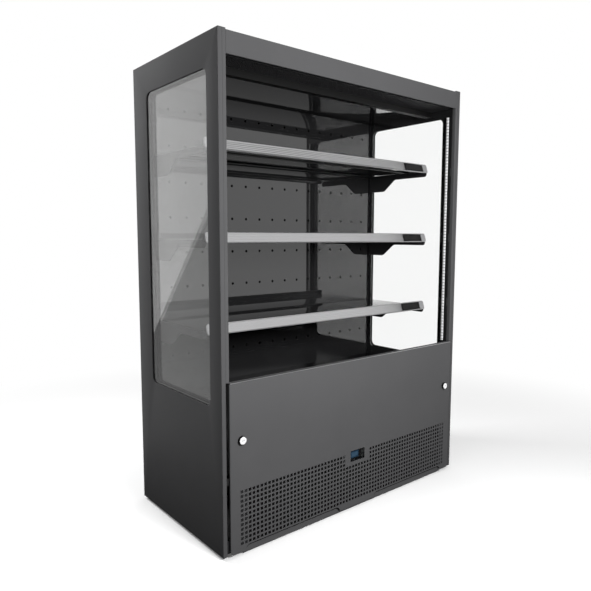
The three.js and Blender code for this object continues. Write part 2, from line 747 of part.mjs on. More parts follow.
// Lift-off front panel: a folded sheet with its perforated field and controller window.
function frontPanel() {
  const window = block([-46, -50, DISPLAY_Z - 26], [46, 5, DISPLAY_Z + 26]);
  const knobHoles = [-KNOB_X, KNOB_X].map((x) => rodY(x, KNOB_Z, 7, -50, 5, 8));
  const plain = alongY(panelOutline(), -PANEL_PROUD, -PANEL_PROUD + 2, 3);
  const sheet = cut(plain, window, ...knobHoles, ...perforation());
  const topFold = alongX(
    foldedSheet([[-PANEL_PROUD + 1, PANEL_TOP], [18, PANEL_TOP], [18, PANEL_TOP - 2.5]], -1.8),
    -PANEL_HALF + 6, PANEL_HALF - 6,
  );
  const sideFold = block([PANEL_HALF - 2, -PANEL_PROUD + 1, 11], [PANEL_HALF, -0.6, PANEL_TOP]);
  return join(sheet, topFold, sideFold, mirrored(sideFold));
}

// Quarter-turn knob: a domed face on a dark shank with its latch bar behind the panel.
function knob(x) {
  const face = -PANEL_PROUD - KNOB_PROUD;
  const profile = [
    [0, face], [KNOB_RADIUS - 4, face + 0.6], [KNOB_RADIUS, face + 3], [KNOB_RADIUS, -PANEL_PROUD - GAP],
    [6, -PANEL_PROUD - GAP], [6, -2.4], [0, -2.4],
  ];
  const body = new THREE.LatheGeometry(profile.map(([radius, y]) => new THREE.Vector2(radius, y)), 12);
  const latch = block([-22, -5.4, -7], [10, -2.6, 7]);
  return join(body, latch).translate(x, 0, KNOB_Z);
}

// Controller on the front of the electrical box, seen through the window in the panel.
function controllerBody() {
  const bezel = alongY(roundedRectangle(-37.5, DISPLAY_Z - 22, 37.5, DISPLAY_Z + 22, 3), 6, 24.2, 2);
  const recess = block([-33, 0, DISPLAY_Z - 17], [20, 8, DISPLAY_Z + 17]);
  const wells = keyPlaces().map((z) => block([23.6, 0, z - 5.4], [32.4, 8.5, z + 5.4]));
  return cut(bezel, recess, ...wells);
}

function keyPlaces() {
  return [DISPLAY_Z + 8, DISPLAY_Z - 8];
}

function controllerDisplay() {
  return alongY(roundedRectangle(-32.6, DISPLAY_Z - 16.6, 19.6, DISPLAY_Z + 16.6, 1.5), 5, 7.6, 1);
}

function controllerKey(z) {
  return alongY(roundedRectangle(24, z - 5, 32, z + 5, 2), 4.4, 7.6, 1);
}

// ---- assembly ---------------------------------------------------------------------------------
const fridge = new THREE.Group();
fridge.position.set(0, -(DEPTH - PANEL_PROUD - KNOB_PROUD) / 2, FOOT_HEIGHT);

function add(name, geometry, material) {
  const mesh = new THREE.Mesh(geometry, material);
  mesh.name = name;
  fridge.add(mesh);
}

function addPair(name, geometry, material) {
  add(`${name}_right`, geometry, material);
  add(`${name}_left`, mirrored(geometry), material);
}

addPair('side_panel', sidePanel(), paint);
addPair('side_liner', sideLiner(), gloss);
addPair('glazing', glazing(), glass);
addPair('post_trim', postTrim(), paint);
addPair('led_strip', ledStrip(), ledWhite);
addPair('upright', upright(), blackSteel);

add('canopy_fascia', canopyFascia(), paint);
add('roof_panel', roofPanel(), paint);
add('air_honeycomb', airHoneycomb(), plastic);
add('ceiling_liner', ceilingLiner(), gloss);
add('back_air_panel', backAirPanel(), gloss);
add('rear_panel', rearPanel(), paint);
add('rear_grille', rearGrille(), galvanised);

SHELF_TOPS.forEach((top, index) => {
  const number = index + 1;
  add(`shelf_plate_${number}`, shelfPlate(top), gloss);
  add(`shelf_frame_${number}`, shelfFrame(top), blackSteel);
  add(`ticket_rail_${number}`, ticketRail(top), anodised);
  add(`rail_insert_${number}`, railInsert(top), plastic);
});

add('deck_tray', deckTray(), gloss);
add('return_air_grille', returnAirGrille(), blackSteel);
add('front_riser', frontRiser(), blackSteel);
add('evaporator_tub', evaporatorTub(), galvanised);
add('evaporator_coil', evaporatorCoil(), galvanised);
add('fan_plate', fanPlate(), galvanised);
add('evaporator_fan_left', fanRotor(-FAN_X, FAN_Z, FAN_RADIUS, 332, 350, 5), fanPlastic);
add('evaporator_fan_right', fanRotor(FAN_X, FAN_Z, FAN_RADIUS, 332, 350, 5), fanPlastic);

add('base_frame', baseFrame(), galvanised);
add('plinth_strip', plinthStrip(), paint);
footPlaces().forEach((place, index) => add(`foot_${index + 1}`, levellingFoot(place), plastic));
add('condenser_coil', condenserCoil(), galvanised);
add('condenser_shroud', condenserShroud(), blackSteel);
const shroudY = CONDENSER.back + 2;
const fanX = (CONDENSER.left + CONDENSER.right) / 2;
const fanZ = (CONDENSER.low + CONDENSER.high) / 2;
add('condenser_fan', fanRotor(fanX, fanZ, 106, shroudY + 10, shroudY + 36, 5), fanPlastic);
add('compressor', compressor(), blackSteel);
add('cooling_pipe', coolingPipe(), copper);
add('evaporation_tray', evaporationTray(), plastic);
add('electrical_box', electricalBox(), galvanised);
add('power_inlet', powerInlet(), plastic);

add('front_panel', frontPanel(), paint);
add('knob_left', knob(-KNOB_X), chrome);
add('knob_right', knob(KNOB_X), chrome);
add('controller_body', controllerBody(), plastic);
add('controller_display', controllerDisplay(), displayBlue);
keyPlaces().forEach((z, index) => add(`controller_key_${index + 1}`, controllerKey(z), plastic));

export default fridge;
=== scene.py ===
"""Looks of an open multideck display fridge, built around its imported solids.

Sizes are in millimetres and in cabinet coordinates: x from the middle, y back from the front
edge of the side panels, z up from their lower edge. Meshes are written in metres in the frame
of the solids.
"""

from __future__ import annotations

import logging
import math
import sys
from collections.abc import Callable, Sequence
from dataclasses import dataclass
from enum import Enum

import bmesh
import bpy
import numpy as np
from mathutils import Matrix, Vector

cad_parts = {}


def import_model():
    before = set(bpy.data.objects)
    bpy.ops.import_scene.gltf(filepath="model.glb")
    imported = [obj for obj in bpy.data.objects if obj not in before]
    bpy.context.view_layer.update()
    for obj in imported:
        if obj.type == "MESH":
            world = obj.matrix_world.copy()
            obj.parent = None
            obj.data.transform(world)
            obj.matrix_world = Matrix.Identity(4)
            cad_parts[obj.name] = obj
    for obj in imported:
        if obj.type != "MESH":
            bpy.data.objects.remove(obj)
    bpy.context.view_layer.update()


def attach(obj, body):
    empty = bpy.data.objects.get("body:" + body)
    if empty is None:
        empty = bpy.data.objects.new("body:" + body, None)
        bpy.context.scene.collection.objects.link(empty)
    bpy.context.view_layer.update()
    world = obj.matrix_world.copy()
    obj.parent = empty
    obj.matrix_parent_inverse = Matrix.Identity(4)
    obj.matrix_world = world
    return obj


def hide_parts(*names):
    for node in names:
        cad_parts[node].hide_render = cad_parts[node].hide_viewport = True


LOG = logging.getLogger("display_fridge")
ORIGIN = np.array([0.0, 348.0, -14.0])  # origin of the solids, in cabinet coordinates
GAP = 0.3  # clearance between two pieces that touch
SHELF_TOPS = (1642.0, 1272.0, 902.0)
WHITE = (1.0, 1.0, 1.0, 1.0)
DUST = (0.32, 0.31, 0.29, 1.0)
CLEAR = (0.995, 0.998, 0.996)

Array = np.ndarray
Colour = tuple[float, float, float]
Span = tuple[float, float]
Point = tuple[float, float, float]
Opening = tuple[float, float, float, float, float]
Place = Callable[[Array, Array, float], Array]


# ---- named options ---------------------------------------------------------------------------


class Axis(Enum):
    """The direction that a section is carried along."""

    X = 0
    Y = 1
    Z = 2


class Side(Enum):
    """A side of the cabinet, as a customer sees it, with the sign of its x."""

    LEFT = -1
    RIGHT = 1

    @property
    def word(self) -> str:
        """The side's name as it stands in piece names."""
        return self.name.lower()


class Body(Enum):
    """The moving bodies of the solids, apart from the numbered ones."""

    CABINET = "cabinet"
    PANEL = "panel"
    CONDENSER_ROTOR = "condenser_rotor"


class Texture(Enum):
    """How a finish is textured: size of the grain along x, y and z in millimetres."""

    PEEL = (2.2, 2.2, 2.2)
    POLISHED = (160.0, 160.0, 160.0)
    MOULDED = (0.9, 0.9, 0.9)
    DRAWN_X = (220.0, 0.5, 0.5)
    DRAWN_Z = (0.6, 0.6, 240.0)
    SPANGLE = (14.0, 14.0, 14.0)
    TURNED = (1.5, 30.0, 1.5)


# ---- shader groups ---------------------------------------------------------------------------


class Nodes:
    """A short way to fill one node tree."""

    def __init__(self, tree: bpy.types.NodeTree) -> None:
        """Starts with an empty tree.

        Args:
            tree: the tree of a material, a world or a group.
        """
        self.tree = tree
        tree.nodes.clear()

    def add(
        self, kind: str, inputs: dict[str | int, object] | None = None, **settings: object
    ) -> bpy.types.Node:
        """Adds a node.

        Args:
            kind: the node's type without its ShaderNode prefix.
            inputs: values, or sockets to link, by input name or number.
            settings: attributes of the node itself.

        Returns:
            The new node.
        """
        prefix = "" if kind.startswith("Node") else "ShaderNode"
        node = self.tree.nodes.new(prefix + kind)
        for key, value in settings.items():
            setattr(node, key, value)
        for key, value in (inputs or {}).items():
            if isinstance(value, bpy.types.NodeSocket):
                self.tree.links.new(value, node.inputs[key])
            else:
                node.inputs[key].default_value = value
        return node

    def math(self, operation: str, first: object, second: object, **settings: object) -> bpy.types.NodeSocket:
        """One step of arithmetic on values or sockets."""
        return self.add("Math", {0: first, 1: second}, operation=operation, **settings).outputs[0]

    def ramp(
        self, value: object, low: float, high: float, first: float = 0.0, last: float = 1.0, **settings: object
    ) -> bpy.types.NodeSocket:
        """Maps a value between two limits onto a range.

        Args:
            value: the socket to map.
            low, high: its limits.
            first, last: the results at these limits.
            settings: attributes of the node itself.

        Returns:
            The result's socket.
        """
        limits = {"From Min": low, "From Max": high, "To Min": first, "To Max": last}
        return self.add("MapRange", {"Value": value, **limits}, **settings).outputs[0]

    def diffuse(self, grey: float) -> bpy.types.NodeSocket:
        """A matt grey surface."""
        return self.add("BsdfDiffuse", {"Color": (grey, grey, grey, 1.0)}).outputs[0]

    def glow(self, strength: float) -> bpy.types.NodeSocket:
        """A surface that gives white light of its own."""
        return self.add("Emission", {"Color": WHITE, "Strength": strength}).outputs[0]

    def looked_at(self) -> bpy.types.NodeSocket:
        """One for what is seen directly, mirrored or through glass, and nought for soft light."""
        path = self.add("LightPath").outputs
        either = self.math("MAXIMUM", path["Is Camera Ray"], path["Is Glossy Ray"])
        return self.math("MAXIMUM", either, path["Is Transmission Ray"])


def new_group(
    name: str, inputs: dict[str, float | None], outputs: Sequence[str]
) -> tuple[Nodes, dict[str, bpy.types.NodeSocket], dict[str, bpy.types.NodeSocket]]:
    """Starts a shader node group with named sockets.

    Args:
        name: the group's name.
        inputs: input names, each with its default value, or None for a vector.
        outputs: names of its value outputs.

    Returns:
        The group's nodes, its input sockets and its output sockets by name.
    """
    tree = bpy.data.node_groups.new(name, "ShaderNodeTree")
    nodes = Nodes(tree)
    for label, value in inputs.items():
        kind = "NodeSocketVector" if value is None else "NodeSocketFloat"
        socket = tree.interface.new_socket(name=label, in_out="INPUT", socket_type=kind)
        if value is not None:
            socket.default_value = value
    for label in outputs:
        tree.interface.new_socket(name=label, in_out="OUTPUT", socket_type="NodeSocketFloat")
    source = nodes.add("NodeGroupInput")
    sink = nodes.add("NodeGroupOutput")
    return nodes, dict(source.outputs.items()), dict(sink.inputs.items())


def grain_group() -> bpy.types.NodeTree:
    """Fine relief and a slow drift of tone, both from noise on the given coordinates.

    Relief is one octave of fine noise plus a third of an octave four times as fine. Drift is
    broad noise that shifts colour and roughness a little from place to place.

    Returns:
        The group, made once and shared by every finish.
    """
    if "surface_grain" in bpy.data.node_groups:
        return bpy.data.node_groups["surface_grain"]
    nodes, given, result = new_group("surface_grain", {"Grain": None, "Place": None}, ("Relief", "Drift"))
    coarse = nodes.add("TexNoise", {"Vector": given["Grain"], "Scale": 1.0, "Detail": 2.0})
    fine = nodes.add("TexNoise", {"Vector": given["Grain"], "Scale": 4.0, "Detail": 1.0})
    relief = nodes.math("ADD", coarse.outputs["Fac"], nodes.math("MULTIPLY", fine.outputs["Fac"], 0.33))
    broad = nodes.add("TexNoise", {"Vector": given["Place"], "Scale": 2.6, "Detail": 3.0, "Roughness": 0.6})
    nodes.tree.links.new(relief, result["Relief"])
    nodes.tree.links.new(broad.outputs["Fac"], result["Drift"])
    return nodes.tree


def dust_group() -> bpy.types.NodeTree:
    """A thin film of shop dust: broken patches, thicker near the floor.

    The film is patchy noise raised to a power, times a fall-off with height above the floor.

    Returns:
        The group, made once and shared by the outside finishes.
    """
    if "dust_film" in bpy.data.node_groups:
        return bpy.data.node_groups["dust_film"]
    nodes, given, result = new_group("dust_film", {"Place": None, "Amount": 0.1}, ("Film",))
    patches = nodes.add("TexNoise", {"Vector": given["Place"], "Scale": 7.0, "Detail": 6.0, "Roughness": 0.7})
    height = nodes.add("SeparateXYZ", {"Vector": given["Place"]})
    low = nodes.ramp(height.outputs["Z"], 0.0, 0.5, 1.6, 0.6)
    film = nodes.math("MULTIPLY", nodes.math("POWER", patches.outputs["Fac"], 2.5), low)
    nodes.tree.links.new(nodes.math("MULTIPLY", film, given["Amount"], use_clamp=True), result["Film"])
    return nodes.tree


# ---- finishes --------------------------------------------------------------------------------


@dataclass(frozen=True)
class Finish:
    """One surface finish, turned into a procedural material."""

    name: str
    slot: str
    colour: Colour
    roughness: float
    texture: Texture
    relief_mm: float
    metallic: float = 0.0
    ior: float = 1.5
    transmission: float = 0.0
    drift: float = 0.08
    dust: float = 0.0

    def material(self) -> bpy.types.Material:
        """Builds the material, or returns the one built before.

        Returns:
            A material that reads Object coordinates only.
        """
        if self.name in bpy.data.materials:
            return bpy.data.materials[self.name]
        made = bpy.data.materials.new(self.name)
        made.use_nodes = True
        nodes = Nodes(made.node_tree)
        place = nodes.add("TexCoord").outputs["Object"]
        scale = tuple(1000.0 / size for size in self.texture.value)
        fine_place = nodes.add("Mapping", {"Vector": place, "Scale": scale}).outputs[0]
        grain = nodes.add("Group", {"Grain": fine_place, "Place": place}, node_tree=grain_group()).outputs
        change = 1.5 * self.drift
        smoothest, roughest = self.roughness * (1 - change), self.roughness * (1 + change)
        rough = nodes.ramp(grain["Drift"], 0.3, 0.7, smoothest, roughest)
        height = {"Height": grain["Relief"], "Strength": 1.0, "Distance": self.relief_mm / 1000}
        shader = nodes.add(
            "BsdfPrincipled",
            {
                "Base Color": self._colour(nodes, grain["Drift"], place),
                "Roughness": rough,
                "Normal": nodes.add("Bump", height).outputs[0],
                "Metallic": self.metallic,
                "IOR": self.ior,
                "Transmission Weight": self.transmission,
            },
        )
        nodes.add("OutputMaterial", {"Surface": shader.outputs[0]})
        return made

    def _colour(
        self, nodes: Nodes, drift: bpy.types.NodeSocket, place: bpy.types.NodeSocket
    ) -> bpy.types.NodeSocket:
        """Colour that wanders a little over the surface, under a film of dust.

        Args:
            nodes: the material's nodes.
            drift: the slow noise.
            place: Object coordinates.

        Returns:
            The colour socket.
        """
        dark = tuple(value * (1 - self.drift) for value in self.colour) + (1.0,)
        light = tuple(min(value * (1 + self.drift), 1.0) for value in self.colour) + (1.0,)
        tone = nodes.add("Mix", {0: drift, 6: dark, 7: light}, data_type="RGBA").outputs[2]
        if not self.dust:
            return tone
        film = nodes.add("Group", {"Place": place, "Amount": self.dust}, node_tree=dust_group())
        return nodes.add("Mix", {0: film.outputs["Film"], 6: tone, 7: DUST}, data_type="RGBA").outputs[2]


PAINT = Finish(
    "dark_grey_powder_coat", "paint", (0.072, 0.072, 0.074), 0.5, Texture.PEEL, 0.012, ior=1.13, dust=0.05
)
GLOSS = Finish(
    "mirror_black_sheet", "gloss_black", (0.012, 0.012, 0.0125), 0.03, Texture.POLISHED, 0.0, ior=1.78
)
BLACK_COAT = Finish("satin_black_coat", "black_steel", (0.016, 0.016, 0.017), 0.36, Texture.PEEL, 0.010)
ANODISED = Finish(
    "satin_anodised", "anodised", (0.50, 0.50, 0.505), 0.34, Texture.DRAWN_X, 0.012, metallic=1.0, drift=0.12
)
RAIL_CAP = Finish("rail_end_cap", "anodised", (0.22, 0.22, 0.225), 0.38, Texture.MOULDED, 0.008)
GALVANISED = Finish(
    "galvanised_sheet", "galvanised", (0.42, 0.44, 0.45), 0.38, Texture.SPANGLE, 0.02, metallic=1.0, dust=0.08
)
FINS = Finish(
    "coil_fins", "galvanised", (0.50, 0.51, 0.52), 0.40, Texture.DRAWN_Z, 0.01, metallic=1.0, dust=0.1
)
COPPER = Finish(
    "drawn_copper", "copper", (0.62, 0.26, 0.15), 0.28, Texture.DRAWN_Z, 0.006, metallic=1.0, drift=0.16
)
CHROME = Finish(
    "polished_chrome", "chrome", (0.86, 0.86, 0.87), 0.06, Texture.TURNED, 0.002, metallic=1.0, drift=0.03
)
PLASTIC = Finish("black_moulding", "black_plastic", (0.012, 0.012, 0.012), 0.45, Texture.MOULDED, 0.02)
FAN_PLASTIC = Finish("fan_moulding", "fan_plastic", (0.03, 0.031, 0.034), 0.45, Texture.MOULDED, 0.02)
DECK_SHEET = Finish(
    "black_deck_sheet", "gloss_black", (0.006, 0.006, 0.0065), 0.16, Texture.POLISHED, 0.0, ior=1.25
)
UPRIGHT_COAT = Finish(
    "upright_coat", "black_steel", (0.006, 0.006, 0.0065), 0.42, Texture.PEEL, 0.008, ior=1.35
)
DEEP_BLACK = Finish(
    "deep_black_moulding", "black_plastic", (0.003, 0.003, 0.003), 0.55, Texture.MOULDED, 0.01, ior=1.35
)
TICKET_FIELD = Finish(
    "ticket_field", "black_plastic", (0.009, 0.009, 0.009), 0.6, Texture.MOULDED, 0.01, ior=1.35
)
HONEYCOMB = Finish("honeycomb_moulding", "black_plastic", (0.02, 0.02, 0.021), 0.5, Texture.MOULDED, 0.02)
# Near-black, rough finish for sheets that stand in for shade behind the front panel's holes and arches: painted
# shade.
SHADE_BLACK = Finish("painted_shade_black", "black_plastic", (0.004, 0.004, 0.004), 0.9, Texture.MOULDED, 0.03, ior=1.2)
RUBBER = Finish("black_rubber", "black_plastic", (0.02, 0.02, 0.02), 0.7, Texture.MOULDED, 0.03)
DIFFUSER = Finish("frosted_diffuser", "diffuser", (0.80, 0.80, 0.80), 0.35, Texture.DRAWN_Z, 0.02)
RIB = Finish("diffuser_rib", "diffuser", (0.42, 0.42, 0.43), 0.4, Texture.DRAWN_Z, 0.02)
# Chrome latch cap, given a pale, partly diffuse colour so the lamps light it white: painted reflection, with
# some real metal sheen.
CAP_PAINTED_REFLECTION = Finish("chrome_cap_painted_reflection", "chrome", (0.84, 0.84, 0.85), 0.25, Texture.TURNED, 0.002, metallic=0.3)
LENS = Finish("dark_blue_lens", "display", (0.012, 0.028, 0.05), 0.12, Texture.POLISHED, 0.004)
LCD = Finish("pale_blue_field", "display", (0.03, 0.06, 0.095), 0.2, Texture.POLISHED, 0.004)
GLASS = Finish(
    "clear_glass", "glass", CLEAR, 0.0, Texture.POLISHED, 0.0, ior=1.5, transmission=1.0, drift=0.002
)
COATED_GLASS = Finish(
    "coated_glass", "glass", CLEAR, 0.0, Texture.POLISHED, 0.0, ior=1.28, transmission=1.0, drift=0.002
)
FRIT = Finish("black_glass_border", "glass", (0.006, 0.006, 0.006), 0.2, Texture.POLISHED, 0.002)
SPACER = Finish("glass_spacer", "black_steel", (0.006, 0.006, 0.006), 0.5, Texture.DRAWN_Z, 0.004)


# ---- sections and loops ----------------------------------------------------------------------


def rounded_loop(a0: float, b0: float, a1: float, b1: float, radius: float, steps: int = 8) -> Array:
    """A rectangle with round corners: each corner is a quarter circle about its own centre.

    Args:
        a0, b0, a1, b1: the rectangle.
        radius: of the corners.
        steps: points along each corner beyond its first.

    Returns:
        Points of shape (4 * (steps + 1), 2), anticlockwise from the lower right corner.
    """
    left, low, right, high = a0 + radius, b0 + radius, a1 - radius, b1 - radius
    corners = np.array([[right, low], [right, high], [left, high], [left, low]])
    start = np.array([-0.5, 0.0, 0.5, 1.0]) * np.pi
    angle = start[:, None] + np.linspace(0, np.pi / 2, steps + 1)[None, :]
    circle = np.stack([np.cos(angle), np.sin(angle)], -1) * radius
    return (corners[:, None, :] + circle).reshape(-1, 2)


def filleted(path: Sequence[Sequence[float]], radius: float, steps: int = 5, closed: bool = False) -> Array:
    """A path whose inner corners are replaced by arcs that touch both neighbouring runs.

    Args:
        path: the corner points.
        radius: of the arcs, made smaller where a run is too short for it.
        steps: points along each arc beyond its first.
        closed: whether the last point joins the first.

    Returns:
        Points of shape (n, 2).
    """
    points = np.array(path, float)
    count = len(points)
    out: list[Array] = []
    for index in range(count):
        if not closed and index in (0, count - 1):
            out.append(points[index][None, :])
            continue
        here = points[index]
        back = points[index - 1] - here
        ahead = points[(index + 1) % count] - here
        back_length, ahead_length = np.linalg.norm(back), np.linalg.norm(ahead)
        back, ahead = back / back_length, ahead / ahead_length
        half = 0.5 * np.arccos(np.clip(back @ ahead, -1, 1))
        if abs(half - np.pi / 2) < 1e-3 or radius <= 0:
            out.append(here[None, :])
            continue
        reach = min(radius / np.tan(half), 0.48 * back_length, 0.48 * ahead_length)
        round_radius = reach * np.tan(half)
        middle = back + ahead
        centre = here + middle / np.linalg.norm(middle) * round_radius / np.sin(half)
        first = here + back * reach - centre
        last = here + ahead * reach - centre
        sweep = np.pi - 2 * half
        turn = np.sign(first[0] * last[1] - first[1] * last[0])
        angle = np.linspace(0, sweep, steps + 1) * turn
        cos, sin = np.cos(angle), np.sin(angle)
        arc = np.stack([first[0] * cos - first[1] * sin, first[0] * sin + first[1] * cos], -1)
        out.append(centre + arc)
    return np.concatenate(out)


def ribbon(path: Sequence[Sequence[float]], thickness: float, radius: float, steps: int = 4) -> Array:
    """The section of a bent sheet: a filleted path, and the same path moved along its normals.

    Args:
        path: one face of the sheet.
        thickness: towards the left of the path, or to its right where negative.
        radius: of the bends, on the given face.
        steps: points along each bend.

    Returns:
        A closed section of shape (n, 2).
    """
    near = filleted(path, radius, steps)
    run = np.diff(near, axis=0)
    normal = np.stack([-run[:, 1], run[:, 0]], -1) / np.linalg.norm(run, axis=1)[:, None]
    before = np.concatenate([normal[:1], normal])
    after = np.concatenate([normal, normal[-1:]])
    middle = before + after
    middle /= np.linalg.norm(middle, axis=1)[:, None]
    far = near + middle * thickness / np.sum(middle * after, axis=1)[:, None]
    return np.concatenate([near, far[::-1]])


def on_axis(section: Array, along: float, axis: Axis) -> Array:
    """Section points as points in space.

    Args:
        section: (y, z), (x, z) or (x, y) for the axes X, Y and Z.
        along: the coordinate along the axis.
        axis: the axis.

    Returns:
        Points of shape (n, 3).
    """
    return np.insert(section, axis.value, along, axis=-1)


# ---- meshes ----------------------------------------------------------------------------------


class Shell:
    """The faces of one piece, gathered patch by patch, in millimetres."""

    def __init__(self, name: str) -> None:
        """Starts an empty piece.

        Args:
            name: the piece's name.
        """
        self.name = name
        self._points: list[Array] = []
        self._faces: list[list[int]] = []
        self._count = 0

    def add(self, points: Array, faces: Array | list[list[int]]) -> "Shell":
        """Adds points and the faces between them.

        Args:
            points: any shape that ends in 3.
            faces: rows of indices into these points.

        Returns:
            The piece itself, so that calls can follow one another.
        """
        flat = np.asarray(points, float).reshape(-1, 3)
        self._points.append(flat)
        self._faces.extend((np.asarray(faces) + self._count).tolist())
        self._count += len(flat)
        return self

    def grid(self, points: Array, wrap_rows: bool = False, wrap_columns: bool = False) -> "Shell":
        """Adds a surface of quads between the rows and columns of a grid of points.

        Args:
            points: of shape (rows, columns, 3).
            wrap_rows: whether the last row joins the first.
            wrap_columns: whether the last column joins the first.

        Returns:
            The piece itself.
        """
        rows, columns = points.shape[:2]
        row = np.arange(rows if wrap_rows else rows - 1)[:, None]
        column = np.arange(columns if wrap_columns else columns - 1)[None, :]
        right, above = (column + 1) % columns, (row + 1) % rows
        here, there = row * columns, above * columns
        quads = np.broadcast_arrays(here + column, here + right, there + right, there + column)
        return self.add(points, np.stack(quads, -1).reshape(-1, 4))

    def cap(self, loop: Array) -> "Shell":
        """Adds one flat face round a loop of points."""
        return self.add(loop, [list(range(len(loop)))])

    def prism(self, section: Array, low: float, high: float, axis: Axis) -> "Shell":
        """Adds a closed section carried along an axis, with both ends closed.

        Args:
            section: of shape (n, 2).
            low, high: where it starts and ends.
            axis: the direction.

        Returns:
            The piece itself.
        """
        ends = np.stack([on_axis(section, low, axis), on_axis(section, high, axis)])
        return self.grid(ends, wrap_columns=True).cap(ends[0]).cap(ends[1])

    def box(self, low: Sequence[float], high: Sequence[float]) -> "Shell":
        """Adds a block between two corners."""
        section = np.array([[low[1], low[2]], [high[1], low[2]], [high[1], high[2]], [low[1], high[2]]])
        return self.prism(section, low[0], high[0], Axis.X)

    def turned(
        self, profile: Sequence[Sequence[float]], centre: Sequence[float], axis: Axis, sides: int = 48
    ) -> "Shell":
        """Adds a profile turned about an axis: (r cos t, r sin t) at each height of the profile.

        Args:
            profile: (radius, place along the axis), from axis to axis or closed on itself.
            centre: the two other coordinates of the axis.
            axis: its direction.
            sides: points round the axis.

        Returns:
            The piece itself.
        """
        radius, along = np.array(profile, float).T
        angle = np.linspace(0, 2 * np.pi, sides, endpoint=False)
        a = centre[0] + radius[:, None] * np.cos(angle)
        b = centre[1] + radius[:, None] * np.sin(angle)
        c = np.broadcast_to(along[:, None], a.shape)
        order = {Axis.X: (c, a, b), Axis.Y: (a, c, b), Axis.Z: (a, b, c)}[axis]
        closed = bool(np.allclose(profile[0], profile[-1]))
        return self.grid(np.stack(order, -1), wrap_rows=closed, wrap_columns=True)

    def tube(self, route: Array, radius: float, sides: int = 12) -> "Shell":
        """Adds a round tube: at each point of the route a circle in the plane across it.

        The circle's first direction is carried along the route by taking away its part along
        the new tangent, so the tube doesn't twist.

        Args:
            route: of shape (n, 3).
            radius: of the tube.
            sides: points round it.

        Returns:
            The piece itself.
        """
        tangent = np.gradient(route, axis=0)
        tangent /= np.linalg.norm(tangent, axis=1)[:, None]
        seed = np.eye(3)[np.argmin(np.abs(tangent[0]))]
        firsts = []
        for direction in tangent:
            seed = seed - direction * (seed @ direction)
            seed = seed / np.linalg.norm(seed)
            firsts.append(seed)
        first = np.array(firsts)
        second = np.cross(tangent, first)
        angle = np.linspace(0, 2 * np.pi, sides, endpoint=False)[:, None]
        circle = first[:, None, :] * np.cos(angle) + second[:, None, :] * np.sin(angle)
        rings = route[:, None, :] + circle * radius
        return self.grid(rings, wrap_columns=True).cap(rings[0]).cap(rings[-1])

    def lattice(self, a: Array, b: Array, solid: Array, thickness: float, place: Place) -> "Shell":
        """Adds a sheet with openings: a grid of cells of which some are left out, given thickness.

        Every solid cell has a front and a back face, and a wall wherever its neighbour is open.

        Args:
            a, b: the grid lines.
            solid: of shape (len(b) - 1, len(a) - 1), true where there is material.
            thickness: of the sheet.
            place: turns grid coordinates and a depth into points.

        Returns:
            The piece itself.
        """
        grid_a, grid_b = np.meshgrid(a, b)
        front, back = place(grid_a, grid_b, 0.0), place(grid_a, grid_b, thickness)
        index = np.arange(grid_a.size).reshape(grid_a.shape)
        far = grid_a.size
        row, column = np.nonzero(solid)
        turns = ((0, 0), (0, 1), (1, 1), (1, 0))
        corner = np.stack([index[row + up, column + right] for up, right in turns], -1)
        faces = [corner, corner[:, ::-1] + far]
        padded = np.pad(solid, 1)
        for step_row, step_column, first, second in ((-1, 0, 0, 1), (0, 1, 1, 2), (1, 0, 2, 3), (0, -1, 3, 0)):
            edge = ~padded[row + 1 + step_row, column + 1 + step_column]
            start, stop = corner[edge, first], corner[edge, second]
            faces.append(np.stack([stop, start, start + far, stop + far], -1))
        return self.add(np.concatenate([front.reshape(-1, 3), back.reshape(-1, 3)]), np.concatenate(faces))

    def piece(self, smooth_deg: float = 32.0, bevel: float = 0.0, segments: int = 2) -> bpy.types.Object:
        """Makes the mesh object: doubles merged, strays removed, faces outwards.

        Args:
            smooth_deg: edges sharper than this stay sharp.
            bevel: width of a bevel on sharp edges, or 0.
            segments: steps of the bevel.

        Returns:
            The object, in metres, at the origin.
        """
        points = (np.concatenate(self._points) - ORIGIN) / 1000
        mesh = bpy.data.meshes.new(self.name)
        mesh.from_pydata(points.tolist(), [], self._faces)
        tidy_mesh(mesh)
        made = linked(self.name, mesh)
        finish_edges(made, smooth_deg, bevel, segments)
        return made


def linked(name: str, data: bpy.types.ID) -> bpy.types.Object:
    """A new object of the scene with the given mesh, lamp or camera."""
    made = bpy.data.objects.new(name, data)
    bpy.context.scene.collection.objects.link(made)
    return made


def tidy_mesh(mesh: bpy.types.Mesh, merge: float = 2e-6, flatten_deg: float = 0.0) -> None:
    """Merges doubles, removes loose points and turns the faces outwards.

    Args:
        mesh: the mesh.
        merge: distance below which points are one, in metres.
        flatten_deg: joins faces that meet at less than this angle, or 0 to leave them.
    """
    work = bmesh.new()
    work.from_mesh(mesh)
    bmesh.ops.remove_doubles(work, verts=work.verts, dist=merge)
    loose = [vertex for vertex in work.verts if not vertex.link_faces]
    bmesh.ops.delete(work, geom=loose, context="VERTS")
    if flatten_deg:
        limit = math.radians(flatten_deg)
        bmesh.ops.dissolve_limit(work, angle_limit=limit, verts=work.verts, edges=work.edges)
    bmesh.ops.recalc_face_normals(work, faces=work.faces)
    work.to_mesh(mesh)
    work.free()


def finish_edges(made: bpy.types.Object, smooth_deg: float, bevel: float, segments: int) -> None:
    """Shades an object smooth between sharp edges and bevels these where asked.

    Args:
        made: the object.
        smooth_deg: edges sharper than this stay sharp.
        bevel: width in millimetres, or 0.
        segments: steps of the bevel.
    """
    made.data.shade_smooth()
    made.data.set_sharp_from_angle(angle=math.radians(smooth_deg))
    if not bevel:
        return
    modifier = made.modifiers.new("worn_edges", "BEVEL")
    modifier.width = bevel / 1000
    modifier.segments = segments
    modifier.limit_method = "ANGLE"
    modifier.angle_limit = math.radians(smooth_deg)
    modifier.harden_normals = True
    modifier.use_clamp_overlap = True


